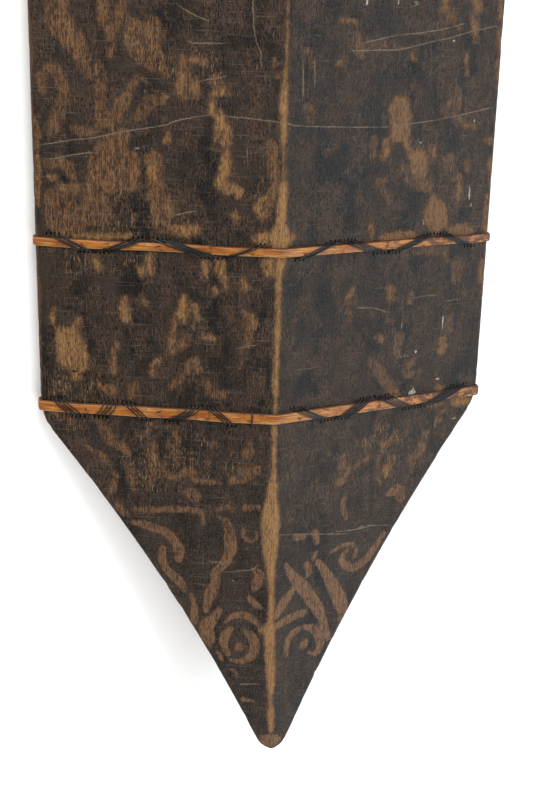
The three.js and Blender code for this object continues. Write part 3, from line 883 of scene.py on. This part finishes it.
def lacing_plan(index):
    """For each stitch its holes at the top row and the bottom row: x, y, width, length."""
    _, middle, width, stitches = BANDS[index]
    random = np.random.default_rng(31 + index)
    row = width / 2 + ROW_CLEARANCE
    plan = []
    for top, bottom, strands in stitches:
        ends = []
        for side, share in ((1, top), (-1, bottom)):
            x = stitch_holes(share, strands) + random.uniform(-0.25, 0.25, strands)
            y = band_line(middle, x) + side * (row + random.uniform(-0.2, 0.5, strands))
            wide = HOLE_WIDTH * random.uniform(0.85, 1.15, strands)
            long = HOLE_LENGTH * random.uniform(0.8, 1.25, strands)
            ends.append(np.column_stack([x, y, wide, long]))
        plan.append(ends)
    return plan


def hole_cutters():
    turn = np.linspace(0, 2 * math.pi, HOLE_SIDES, endpoint=False)
    parts = []
    for index in range(len(BANDS)):
        for ends in lacing_plan(index):
            for x, y, wide, long in np.vstack(ends):
                round_x = x + wide / 2 * np.cos(turn)
                round_y = y + long / 2 * np.sin(turn)
                parts.append(loft([
                    np.column_stack([round_x, round_y, np.full(HOLE_SIDES, z)])
                    for z in (HOLE_FROM, HOLE_TO)]))
    return joined(parts)


# The strands, each a thin cord of its own

STRAND = 1.15
STRAND_SIDES = 7
CLEARANCE = 0.1
FRONT_STEPS = 22
BACK_STEPS = 8
TUCK_STEPS = 14


def cord_mesh(path, thickness):
    """A tube along rows of X, Y and Z."""
    path = np.asarray(path, float)
    along = np.gradient(path, axis=0)
    along /= np.linalg.norm(along, axis=1)[:, None]
    guide = np.array([0.0, 0.0, 1.0])
    if abs(along[:, 2]).mean() > 0.8:
        guide = np.array([0.0, 1.0, 0.0])
    side = np.cross(along, guide)
    usable = np.flatnonzero(np.linalg.norm(side, axis=1) > 0.2)
    apart = np.abs(np.arange(len(side))[:, None] - usable)
    side = side[usable[apart.argmin(axis=1)]]
    side /= np.linalg.norm(side, axis=1)[:, None]
    up = np.cross(side, along)
    up /= np.linalg.norm(up, axis=1)[:, None]
    side = np.cross(along, up)
    turn = np.linspace(0, 2 * math.pi, STRAND_SIDES, endpoint=False)
    thickness = np.broadcast_to(thickness, len(path))
    rings = [
        point + (np.cos(turn)[:, None] * side[i] + np.sin(turn)[:, None] * up[i])
        * thickness[i] / 2
        for i, point in enumerate(path)]
    return loft(rings)


CANE_RISE = 2.2


def cane_profile(share):
    """How high the cane stands above its seat, from one rim (-1) to the other (1)."""
    return CANE_RISE * np.clip(1 - np.abs(share) ** 3.2, 0, 1) ** 0.45


def smoothed(values):
    """Each value drawn a little towards the ones beside it."""
    return np.convolve(np.pad(values, 1, mode="edge"), (0.2, 0.6, 0.2), "valid")


def straight_way(start, end, share):
    """X and Y along the straight way from one hole to another."""
    return [a + (b - a) * share for a, b in zip(start[:2], end[:2])]


def front_strand(middle, width, start, end, random):
    """Up out of one hole, over the cane and down into the other."""
    share = np.linspace(0, 1, FRONT_STEPS)
    sag = random.uniform(-0.5, 0.5)
    x, y = straight_way(start, end, share)
    x = x + sag * np.sin(share * math.pi)
    over = (y - band_line(middle, x)) / (width / 2)
    on_cane = SEAT + cane_profile(np.clip(over, -1, 1)) + STRAND / 2 + CLEARANCE
    beside = np.clip((np.abs(over) - 1) * width / 2 / ROW_CLEARANCE, 0, 1)
    lift = np.where(beside > 0, SEAT + 0.75 - 2.4 * beside ** 2, on_cane)
    z = front_z(x, y) + smoothed(lift) * 1.05
    dive = [*start[:2], z[0] - 3.0]
    rise = [*end[:2], z[-1] - 3.0]
    return np.vstack([dive, np.column_stack([x, y, z]), rise])


def back_strand(start, end, offset):
    """Out of one hole behind the board, straight along it and into the next hole."""
    share = np.linspace(0, 1, BACK_STEPS)
    x, y = straight_way(start, end, share)
    y = y + offset * np.sin(share * math.pi) ** 0.5
    z = back_z(x) - STRAND / 2 - CLEARANCE
    z[[0, -1]] += 0.5
    first, last = ([*hole[:2], float(back_z(hole[0])) + 4.0] for hole in (start, end))
    return np.vstack([first, np.column_stack([x, y, z]), last])


def tuck_strand(middle, width, x, inward):
    """Behind the board, over the tucked end of the cane."""
    row = width / 2 + ROW_CLEARANCE
    y_share = np.linspace(-1, 1, TUCK_STEPS)
    at_x = x + inward * 5 * (y_share + 1) / 2
    y = band_line(middle, at_x) + y_share * row
    over = y_share * row / (width / 2)
    on_cane = SEAT + cane_profile(over) + STRAND / 2 + CLEARANCE
    depth = smoothed(np.where(np.abs(over) < 1, on_cane, 0.7))
    z = np.maximum(back_z(at_x) - depth, STRAND / 2 + 0.02)
    path = np.column_stack([at_x, y, z])
    first = path[:1] + [[0, 0, 4.0]]
    last = path[-1:] + [[0, 0, 0.8]]
    return np.vstack([first, path, last])


def lacing_mesh(index):
    _, middle, width, _ = BANDS[index]
    plan = lacing_plan(index)
    random = np.random.default_rng(71 + index)
    parts = []
    for top, bottom in plan:
        for start, end in zip(top, bottom):
            path = front_strand(middle, width, start, end, random)
            parts.append(cord_mesh(path, STRAND * random.uniform(0.88, 1.1)))
    for i, (stitch, following) in enumerate(zip(plan, plan[1:])):
        side = 1 - i % 2
        pairs = list(zip(stitch[side][::-1], following[side]))
        for k, (start, end) in enumerate(pairs):
            offset = (k - (len(pairs) - 1) / 2) * STRAND
            parts.append(cord_mesh(back_strand(start, end, offset), STRAND * 0.95))
    for stitch, inward in ((plan[0], 1), (plan[-1], -1)):
        inner = stitch[0][:, 0]
        edge = inner.max() if inward > 0 else inner.min()
        for k in range(2):
            x = edge - inward * (k * STRAND * 1.1 + 2.0)
            parts.append(cord_mesh(tuck_strand(middle, width, x, inward), STRAND * 0.9))
    return joined(parts)


# The bands of split cane

BAND_TUCK = 40.0
CORNER_RADIUS = 1.0
FRONT_SLOPE = 0.31
FRONT_PLACES = 110
NEAR_RIDGE = (14, 10, 7, 5, 3.5, 2.2, 1.1, 0)
CANE_POINTS = 15
CANE_SWAY = 0.45
CANE_FULLNESS = 0.92
CANE_UNEVENNESS = 0.055
RIB_HEIGHT = 0.07


def band_way():
    """Round the board from one tucked end to the other, as rows of X, Z and the way out."""
    tuck = HALF_WIDTH - BAND_TUCK
    land = HALF_WIDTH - EDGE_LAND
    corner_x = HALF_WIDTH - CORNER_RADIUS
    rows = []
    for x in np.linspace(tuck, land - 2, 10):
        rows.append((x, float(back_z(x)), -math.pi / 2 - math.atan(BACK_SLOPE)))
    for x in (land + 1, land + 4):
        rows.append((x, UNDERSIDE, -math.pi / 2))
    facing_up = math.pi / 2 - math.atan(FRONT_SLOPE)
    for height, first, last in (
            (UNDERSIDE + CORNER_RADIUS, -math.pi / 2, 0.0),
            (EDGE_TOP - CORNER_RADIUS, 0.0, facing_up)):
        for turn in np.linspace(first, last, 7):
            rows.append((corner_x + CORNER_RADIUS * math.cos(turn),
                         height + CORNER_RADIUS * math.sin(turn), turn))
    return rows


def front_way(middle):
    """Over the front from the right edge to the left one."""
    ridge = float(ridge_x(middle))
    near = np.array(NEAR_RIDGE)
    x = np.concatenate([
        np.linspace(HALF_WIDTH - 3, ridge + 17, FRONT_PLACES), ridge + near,
        ridge - near[::-1][1:], np.linspace(ridge - 17, 3 - HALF_WIDTH, FRONT_PLACES)])
    step = 0.2
    slope = (front_z(x + step, middle) - front_z(x - step, middle)) / (2 * step)
    return [(a, float(front_z(a, middle)), math.atan2(1, -b)) for a, b in zip(x, slope)]


def band_mesh(index):
    """The strip, with where each of its points lies along it and across it."""
    _, middle, width, _ = BANDS[index]
    right = band_way()
    left = [(-x, z, math.pi - turn) for x, z, turn in reversed(right)]
    rows = np.array(right + front_way(middle) + left)
    run = np.concatenate([[0], np.cumsum(np.hypot(np.diff(rows[:, 0]), np.diff(rows[:, 1])))])
    share = np.linspace(-1, 1, CANE_POINTS)
    share = np.sign(share) * np.abs(share) ** 0.75
    rings = []
    strip = []
    for (x, z, turn), s in zip(rows, run):
        sway = CANE_SWAY * float(noise(s / 34, 1.7, 41 + index))
        uneven = CANE_UNEVENNESS * float(noise(s / 27, 5.2, 51 + index))
        wide = width * (CANE_FULLNESS + uneven)
        ribs = RIB_HEIGHT * noise(share * 5 + 9, np.full(len(share), s / 60), 61 + index)
        rise = np.minimum(cane_profile(share) * (1 + ribs), CANE_RISE)
        across = np.concatenate([share * wide / 2, [0.6 * wide / 2, 0, -0.6 * wide / 2]])
        up = np.concatenate([rise, [0, 0, 0]]) + SEAT
        along_x = x + math.cos(turn) * up
        rings.append(np.column_stack([
            along_x, band_line(middle, along_x) + across + sway, z + math.sin(turn) * up]))
        strip.append(np.column_stack([np.full(len(up), s), across / wide + 0.5, up]))
    vertices, faces = loft([ring[::-1] for ring in rings])
    return vertices, faces, np.vstack([ring[::-1] for ring in strip])


# Materials

OVERLIGHT = 1.4     # the lights are this much stronger than a white floor needs


def colour(red, green, blue):
    """A colour as it shows on a screen, out of 255, as the shader takes it in this light."""
    shares = [value / 255 for value in (red, green, blue)]
    linear = [v / 12.92 if v <= 0.04045 else ((v + 0.055) / 1.055) ** 2.4 for v in shares]
    return [v / OVERLIGHT for v in linear] + [1.0]


# painted shade inside cracks and gouges
CRACK_SHADE = colour(8, 6, 5)
DEEP_PAINT = colour(10, 6, 4)
DARK_PAINT_LOW = colour(19, 13, 8)
DARK_PAINT_HIGH = colour(54, 41, 31)
REDDISH_PAINT = colour(66, 46, 34)
BROWN_FLECK = colour(92, 70, 48)
BROWN_LOW = colour(84, 57, 34)
BROWN_HIGH = colour(120, 85, 54)
FADED_BROWN = colour(124, 88, 61)
WOOD_LOW = colour(112, 76, 42)
WOOD_HIGH = colour(158, 118, 72)
WOOD_DARK = colour(84, 56, 34)
RIM_WOOD = colour(96, 64, 38)
RIDGE_LOW = colour(112, 80, 46)
RIDGE_HIGH = colour(160, 118, 74)
SCRATCH = colour(118, 102, 82)
WHITE_CHALK = colour(178, 168, 152)
BACK_LOW = colour(78, 56, 38)
BACK_HIGH = colour(112, 84, 56)
BACK_PALE = colour(140, 108, 74)
BACK_DARK = colour(40, 29, 21)
CANE_LOW = colour(144, 76, 22)
CANE_HIGH = colour(182, 110, 38)
# painted highlight of the cane's glossy skin, as streaks along its fibres and as a line near one
# rim
CANE_PAINTED_HIGHLIGHT = colour(202, 150, 88)
CANE_DARK = colour(104, 54, 20)
# dark colour of dirt patches on the cane, and painted shade along both rims of each strip
CANE_DIRT_AND_SHADE = colour(52, 30, 18)
STRAND_LOW = colour(9, 7, 5)
STRAND_HIGH = colour(56, 44, 34)
FLOOR_LOW = (0.93, 0.93, 0.93, 1)
FLOOR_HIGH = (0.96, 0.96, 0.96, 1)

FAINT = 0.6         # how clear the paint still is right of the ridge, up from the outer band
TORN_EDGES = 1.35   # how far noise moves the edges of marks
CHANNELS = "ab"     # the two groups of scratches


class Graph:
    """A material's nodes, added one at a time."""

    def __init__(self, name, **constants):
        self.material = bpy.data.materials.new(name)
        self.material.use_nodes = True
        self.nodes = self.material.node_tree.nodes
        self.links = self.material.node_tree.links
        self.nodes.clear()
        self.shader = self.add("ShaderNodeBsdfPrincipled", constants)
        output = self.nodes.new("ShaderNodeOutputMaterial")
        self.links.new(self.shader.outputs[0], output.inputs["Surface"])
        self.place = self.nodes.new("ShaderNodeTexCoord").outputs["Object"]

    def add(self, kind, inputs, **settings):
        node = self.nodes.new(kind)
        for name, value in settings.items():
            setattr(node, name, value)
        for name, value in inputs.items():
            socket = node.inputs[name]
            if isinstance(value, bpy.types.NodeSocket):
                self.links.new(value, socket)
            else:
                socket.default_value = value
        return node

    def attribute(self, name, output="Fac"):
        return self.add("ShaderNodeAttribute", {}, attribute_name=name).outputs[output]

    def stretched(self, x, y, z, place=None):
        """Places scaled so that one unit is this much each way, in millimetres on the object."""
        unit = MM if place is None else 1
        node = self.add("ShaderNodeMapping", {
            "Vector": self.place if place is None else place,
            "Scale": [1 / (size * unit) for size in (x, y, z)]})
        return node.outputs[0]

    def noise(self, place, detail=4.0, roughness=0.55, distortion=0.0):
        node = self.add("ShaderNodeTexNoise", {
            "Vector": place, "Scale": 1.0, "Detail": detail, "Roughness": roughness,
            "Distortion": distortion})
        return node.outputs["Fac"]

    def grained(self, across, along, detail, roughness, distortion=0.0):
        """Noise drawn out along the board's grain, or across it."""
        place = self.stretched(across, along, across)
        return self.noise(place, detail, roughness, distortion)

    def math(self, operation, first, *others):
        """One number after the other taken into the result."""
        for other in others or [0.0]:
            first = self.add("ShaderNodeMath", {0: first, 1: other}, operation=operation).outputs[0]
        return first

    def total(self, *terms):
        return self.math("ADD", *terms)

    def product(self, *factors):
        return self.math("MULTIPLY", *factors)

    def most(self, *values):
        return self.math("MAXIMUM", *values)

    def ramp(self, value, low, high, start=0.0, end=1.0):
        node = self.add("ShaderNodeMapRange", {
            "Value": value, "From Min": low, "From Max": high, "To Min": start,
            "To Max": end}, interpolation_type="SMOOTHSTEP")
        return node.outputs["Result"]

    def mix(self, share, a, b):
        return self.add("ShaderNodeMix", {0: share, 6: a, 7: b}, data_type="RGBA").outputs[2]

    def coated(self, tone, *coats):
        """Colours laid over a tone, each with the ramp that says how much of it shows."""
        for tint, *ramp in coats:
            tone = self.mix(self.ramp(*ramp), tone, tint)
        return tone

    def finish(self, base, roughness, height, distance, strength=1.0):
        bump = self.add("ShaderNodeBump", {
            "Height": height, "Distance": distance * MM, "Strength": strength})
        for name, value in (("Base Color", base), ("Roughness", roughness)):
            self.links.new(value, self.shader.inputs[name])
        self.links.new(bump.outputs[0], self.shader.inputs["Normal"])
        return self.material


def painted_wood():
    """Dark paint with brown scrolls over straight-grained wood, rubbed through in places."""
    g = Graph("painted_wood", **{"Specular IOR Level": 0.2})
    grain = g.grained(1.1, 30, 4, 0.62)
    fibre = g.grained(0.7, 4.2, 1, 0.6)
    flecks = g.grained(1.3, 1.9, 1, 0.7)
    mottle = g.grained(4.5, 9, 5, 0.66)
    broad = g.grained(22, 100, 5, 0.6)
    blotch = g.grained(18, 26, 6, 0.68)
    ragged = g.grained(3.2, 6.5, 7, 0.82)
    hairs = g.grained(26, 0.7, 2, 0.5, 0.4)
    clear = g.attribute("clear")
    crisp = g.attribute("crisp")
    grit = g.product(g.total(fibre, flecks), 0.5)
    streaks = g.product(g.total(fibre, grain), 0.5)

    def inside(name, roughness, softness, grow=0.0):
        """Where an attribute's distance is below zero, with an edge broken up by noise."""
        torn = g.total(ragged, g.product(streaks, 0.6), -0.8)
        edge = g.total(g.attribute(name), g.product(torn, roughness, TORN_EDGES))
        return g.ramp(edge, grow - softness, grow + softness, 1, 0)

    # Dark paint, patchy and flecked where it is worn
    whole = g.mix(g.ramp(broad, 0.36, 0.64), DARK_PAINT_LOW, DARK_PAINT_HIGH)
    stain = g.product(g.ramp(blotch, 0.46, 0.6, 0, 0.75), g.ramp(crisp, 0, 1, 1, 0.35))
    dark = g.mix(stain, whole, REDDISH_PAINT)
    loose = g.product(clear, g.ramp(crisp, 0, 1, 1, 0.5), g.ramp(blotch, 0.4, 0.54, 0.15, 1.1))
    for pattern, low, high, most in ((mottle, 0.48, 0.66, 0.45), (streaks, 0.51, 0.6, 0.55)):
        dark = g.mix(g.product(g.ramp(pattern, low, high, 0, most), loose), dark, BROWN_FLECK)
    dark = g.coated(dark, (DEEP_PAINT, grit, 0.51, 0.38, 0, 0.95))

    # Brown scrolls on it
    cover = g.most(
        g.product(g.ramp(streaks, 0.4, 0.52, 0.35, 0.95), g.ramp(mottle, 0.38, 0.54, 0.3, 1)),
        g.product(crisp, g.ramp(streaks, 0.4, 0.52, 0.25, 1), g.ramp(mottle, 0.36, 0.5, 0.45, 1)))
    brown = g.mix(g.ramp(streaks, 0.42, 0.58), BROWN_LOW, BROWN_HIGH)
    brown = g.mix(g.product(crisp, 0.6), brown, FADED_BROWN)
    edges = g.ramp(crisp, 0, 1, 11.0, 5.0)
    surface = g.mix(g.product(inside("brown", edges, 0.6), cover, clear), dark, brown)
    surface = g.mix(g.product(inside("dark", 4.0, 0.8), 0.9), surface, whole)

    # Wood where the paint has gone, with a rim of brown round it
    wood = g.coated(
        g.mix(g.ramp(streaks, 0.38, 0.62), WOOD_LOW, WOOD_HIGH),
        (WOOD_DARK, mottle, 0.5, 0.7, 0, 0.55), (FADED_BROWN, clear, FAINT, 1, 0.6, 0))
    near = g.ramp(g.attribute("speckled"), -9, 6, 1, 0)
    rubbed = g.total(g.product(streaks, 0.6), g.product(ragged, 0.4), g.product(near, 0.07))
    rubbed = g.product(g.ramp(rubbed, 0.585, 0.65, 0, 0.6), loose)
    bare = g.product(inside("bare", 15.0, 0.6, 0.5), g.ramp(streaks, 0.38, 0.48, 0.1, 1),
                     g.ramp(mottle, 0.36, 0.5, 0.45, 1))
    bare = g.most(g.product(bare, g.ramp(clear, FAINT, 1, 0.75, 1)), rubbed)
    halo = g.most(
        g.product(inside("bare", 13.0, 1.6, 1.6), 0.6, g.ramp(clear, FAINT, 1, 0.6, 1)),
        g.product(inside("stripe", 9.0, 1.2, 0.7), 0.65))
    surface = g.mix(halo, surface, brown)
    rim = g.product(inside("rim", 7.0, 0.8), g.ramp(grit, 0.38, 0.5, 0.2, 0.9))
    surface = g.mix(rim, surface, RIM_WOOD)
    surface = g.mix(bare, surface, wood)
    ridge = g.product(inside("stripe", 7.0, 1.3, -0.4), g.ramp(streaks, 0.36, 0.46, 0.4, 1),
                      g.ramp(mottle, 0.3, 0.44, 0.5, 1))
    surface = g.mix(ridge, surface, g.mix(g.ramp(streaks, 0.36, 0.62), RIDGE_LOW, RIDGE_HIGH))

    # Scratches, chalk and the painted shade of slits over all of it
    thin = g.ramp(hairs, 0.62, 0.72, 0, 0.5)
    for channel in CHANNELS:
        shift = g.product(g.total(flecks, -0.5), 2.0)
        line = g.math("ABSOLUTE", g.total(g.attribute("line_" + channel), shift))
        mark = g.product(g.ramp(line, 0.2, 0.75, 1, 0), g.attribute("mark_" + channel))
        thin = g.most(mark, thin)
    thin = g.product(thin, g.ramp(blotch, 0.35, 0.55, 0.3, 1))
    surface = g.mix(thin, surface, SCRATCH)
    chalk = g.product(inside("chalk", 1.8, 0.4), g.ramp(streaks, 0.38, 0.5, 0.35, 0.9))
    surface = g.mix(chalk, surface, WHITE_CHALK)
    # very dark painted shade along cracks and gouges
    surface = g.mix(g.product(inside("crack_shade", 1.5, 0.4), 0.92), surface, CRACK_SHADE)

    worn = g.most(bare, ridge)
    uneven = g.product(g.total(broad, grit, -1.0), 0.45)
    rough = g.total(g.ramp(worn, 0, 1, 0.42, 0.68), uneven)
    height = g.total(
        g.product(grit, 1.5), g.product(grain, 0.5), g.product(worn, -0.4), g.product(thin, -0.5))
    return g.finish(surface, rough, height, 0.95)


def bare_wood():
    """The back and the grip: plain dark wood, worn smooth and greasy where it was held."""
    g = Graph("bare_wood", **{"Specular IOR Level": 0.3})
    grain = g.grained(2.2, 80, 6, 0.62)
    fibre = g.grained(0.9, 7, 2, 0.6)
    broad = g.grained(34, 130, 6, 0.64)
    mottle = g.grained(9, 22, 5, 0.68)
    off = g.add("ShaderNodeVectorMath", {0: g.stretched(95, 150, 95)}, operation="LENGTH")
    held = g.ramp(g.total(mottle, -0.5, off.outputs["Value"]), 0.6, 1.5, 0.75, 0)
    tone = g.coated(
        g.mix(g.ramp(broad, 0.36, 0.64), BACK_LOW, BACK_HIGH),
        (BACK_PALE, grain, 0.46, 0.66, 0, 0.75), (BACK_LOW, mottle, 0.5, 0.68, 0, 0.6),
        (BACK_DARK, fibre, 0.5, 0.66, 0, 0.7))
    tone = g.mix(held, tone, BACK_DARK)
    rough = g.total(g.ramp(mottle, 0.3, 0.7, 0.6, 0.76), g.product(held, -0.3))
    return g.finish(tone, rough, g.total(grain, g.product(fibre, 0.5)), 0.4)


def cane():
    """Split cane with its skin on: glossy, in long fibres, with streaks of painted highlight, a
    painted highlight line and painted shade along its rims, and dark patches.
    """
    g = Graph("cane", **{"Specular IOR Level": 0.25, "Coat Weight": 0.04, "Coat Roughness": 0.3})
    strip = g.attribute("strip", "Vector")

    def fibres(length, width, detail, roughness):
        """Noise along the strip, sized in millimetres along it and in its own width across."""
        return g.noise(g.stretched(length, width, 100, strip), detail, roughness)

    fibre = fibres(26, 0.16, 4, 0.6)
    fine = fibres(11, 0.06, 3, 0.6)
    broad = fibres(34, 0.9, 4, 0.6)
    dirt = fibres(9, 0.5, 5, 0.68)
    across = g.add("ShaderNodeSeparateXYZ", {"Vector": strip}).outputs[1]
    along = g.add("ShaderNodeSeparateXYZ", {"Vector": g.place}).outputs[0]
    # dark patches from the dirt noise, more of them towards the board's right side
    dark_patches = g.total(dirt, g.ramp(along, 0.02, 0.2, 0, 0.13))
    tone = g.coated(
        g.mix(g.ramp(broad, 0.36, 0.62), CANE_LOW, CANE_HIGH),
        # streaks of painted highlight along the fibres, then darker fibres
        (CANE_PAINTED_HIGHLIGHT, fibre, 0.5, 0.66, 0, 0.8), (CANE_DARK, fine, 0.5, 0.66, 0, 0.8),
        # a painted highlight line just inside the lower rim, and painted shade at the lower rim
        # itself
        (CANE_PAINTED_HIGHLIGHT, across, 0.10, 0.17, 0.7, 0), (CANE_DIRT_AND_SHADE, across, 0.02, 0.08, 0.9, 0),
        # painted shade along the upper rim, then dark patches
        (CANE_DIRT_AND_SHADE, across, 0.86, 0.96, 0, 0.9), (CANE_DIRT_AND_SHADE, dark_patches, 0.54, 0.66, 0, 0.8))
    rough = g.ramp(dirt, 0.3, 0.7, 0.34, 0.6)
    return g.finish(tone, rough, g.total(fibre, g.product(fine, 0.6)), 0.4)


def dark_strand():
    """Dark twisted fibre with a dull shine."""
    g = Graph("dark_strand", **{"Specular IOR Level": 0.32})
    fibre = g.noise(g.stretched(2.6, 0.5, 1.0), 3, 0.6)
    tone = g.mix(g.ramp(fibre, 0.5, 0.66), STRAND_LOW, STRAND_HIGH)
    return g.finish(tone, g.ramp(fibre, 0.3, 0.7, 0.3, 0.55), fibre, 0.2)


def floor_material():
    """The white ground, a little uneven."""
    g = Graph("floor", **{"Specular IOR Level": 0.2})
    cloudy = g.grained(400, 400, 2, 0.5)
    tone = g.mix(cloudy, FLOOR_LOW, FLOOR_HIGH)
    return g.finish(tone, g.ramp(cloudy, 0, 1, 0.85, 0.9), cloudy, 0.01)


# Putting it together

EDGE_FACES = 1.5
CRISP_FROM = 60.0
RIM_WIDTH = 1.8
RIM_UNEVENNESS = 2.2


def set_attribute(made, name, values, kind="FLOAT", key="value"):
    layer = made.data.attributes.new(name, kind, "POINT")
    layer.data.foreach_set(key, np.asarray(values, np.float32).ravel())


def vectors(items, key):
    """One vector of each vertex or face, as rows."""
    found = np.empty(len(items) * 3, np.float32)
    items.foreach_get(key, found)
    return found.reshape(-1, 3).astype(float)


def put_finish_on_board(board):
    """Measures each point of the board against what was painted and worn there."""
    x, board_y, _ = (vectors(board.data.vertices, "co") / MM).T
    y = shown_y(board_y)
    at = np.column_stack([x, y])
    layers = (
        ("brown", BROWN_PAINT), ("dark", DARK_PAINT), ("bare", BARE_WOOD), ("chalk", CHALK),
        ("crack_shade", CRACK_SHADE_STROKES), ("speckled", SPECKLED), ("stripe", [RIDGE_STRIPE]))
    for name, strokes in layers:
        set_attribute(board, name, strokes_distance(at, strokes))
    faint = (x > ridge_x(y)) & (y > -OUTER_BAND_Y)
    set_attribute(board, "clear", np.where(faint, FAINT, 1.0))
    past_band = -OUTER_BAND_Y - y
    set_attribute(board, "crisp", np.clip((past_band - CRISP_FROM) / CRISP_FROM, 0, 1))
    strip = RIM_WIDTH + RIM_UNEVENNESS * noise(board_y / 24, x / 400, 31)
    strip = strip * np.where(np.abs(board_y) > CORNER_Y, 0.5, 1.0)
    set_attribute(board, "rim", half_width(board_y) - np.abs(x) - strip)
    for channel, lines in zip(CHANNELS, SCRATCHES):
        signed, presence = side_distance(at, lines)
        set_attribute(board, "line_" + channel, signed)
        set_attribute(board, "mark_" + channel, presence)


def name_faces(board):
    """Faces in the back half, or looking down along the edge, take the back's bare wood."""
    normals = vectors(board.data.polygons, "normal")
    x, y, z = (vectors(board.data.polygons, "center") / MM).T
    edge = np.abs(x) > half_width(y) - EDGE_FACES
    behind = np.where(edge, normals[:, 2] < -0.5, z < (front_z(x, y) + back_z(x)) / 2)
    board.data.polygons.foreach_set("material_index", behind.astype(np.int32))


def make_board(materials):
    board = make_object("shield_board", *loft([board_ring(y) for y in board_rows()]), materials)
    grip = make_object("grip", *grip_mesh())
    combine(board, grip, "UNION")
    cutters = make_object("holes", *hole_cutters())
    combine(board, cutters, "DIFFERENCE")
    board.data.materials.clear()
    for material in materials:
        board.data.materials.append(material)
    name_faces(board)
    put_finish_on_board(board)
    shade(board, 38)
    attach(board, "root")
    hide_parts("board")


def make_bands(material, strand_material):
    for index, (name, *_) in enumerate(BANDS):
        vertices, faces, strip = band_mesh(index)
        band = make_object("cane_" + name, vertices, faces, [material], 50)
        set_attribute(band, "strip", strip, "FLOAT_VECTOR", "vector")
        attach(band, "root")
        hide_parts("band_" + name)
        cords = make_object("strands_" + name, *lacing_mesh(index), [strand_material], 60)
        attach(cords, "root")
        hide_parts("lacing_" + name)


FLOOR_REACH = 6000.0


def make_floor():
    corners = [(-1, -1, 0), (1, -1, 0), (1, 1, 0), (-1, 1, 0)]
    vertices = np.array(corners) * FLOOR_REACH
    floor = make_object("floor", vertices, [(0, 1, 2, 3)], [floor_material()], None)


COOL_LIGHT = (0.72, 0.85, 0.96)
WHITE_LIGHT = (1.0, 0.99, 0.97)
LIGHTS = (
    # name, towards it, how far off, size, power, colour
    ("sheen", (0.80, -0.10, 0.62), 3.2, 1.9, 112.0, COOL_LIGHT),
    ("top", (0.05, 0.95, 0.50), 3.6, 2.4, 130.0, WHITE_LIGHT),
    ("left", (-0.70, 0.65, 0.40), 3.6, 2.4, 130.0, WHITE_LIGHT),
    ("foot", (0.25, -0.93, 0.50), 3.6, 2.4, 112.0, WHITE_LIGHT),
)
WORLD_STRENGTH = 0.15


def make_lights():
    for name, towards, distance, size, power, tint in LIGHTS:
        data = bpy.data.lights.new(name, "AREA")
        data.shape = "SQUARE"
        data.size = size
        data.energy = power
        data.color = tint
        lamp = bpy.data.objects.new(name, data)
        way = Vector(towards).normalized()
        lamp.location = way * distance
        lamp.rotation_mode = "QUATERNION"
        lamp.rotation_quaternion = way.to_track_quat("Z", "Y")
        bpy.context.scene.collection.objects.link(lamp)
    world = bpy.data.worlds.new("studio")
    world.use_nodes = True
    background = world.node_tree.nodes["Background"]
    background.inputs["Color"].default_value = (1, 1, 1, 1)
    background.inputs["Strength"].default_value = WORLD_STRENGTH
    bpy.context.scene.world = world
    bpy.context.scene.view_settings.view_transform = "Standard"


make_camera()
make_lights()
make_floor()
make_board([painted_wood(), bare_wood()])
make_bands(cane(), dark_strand())
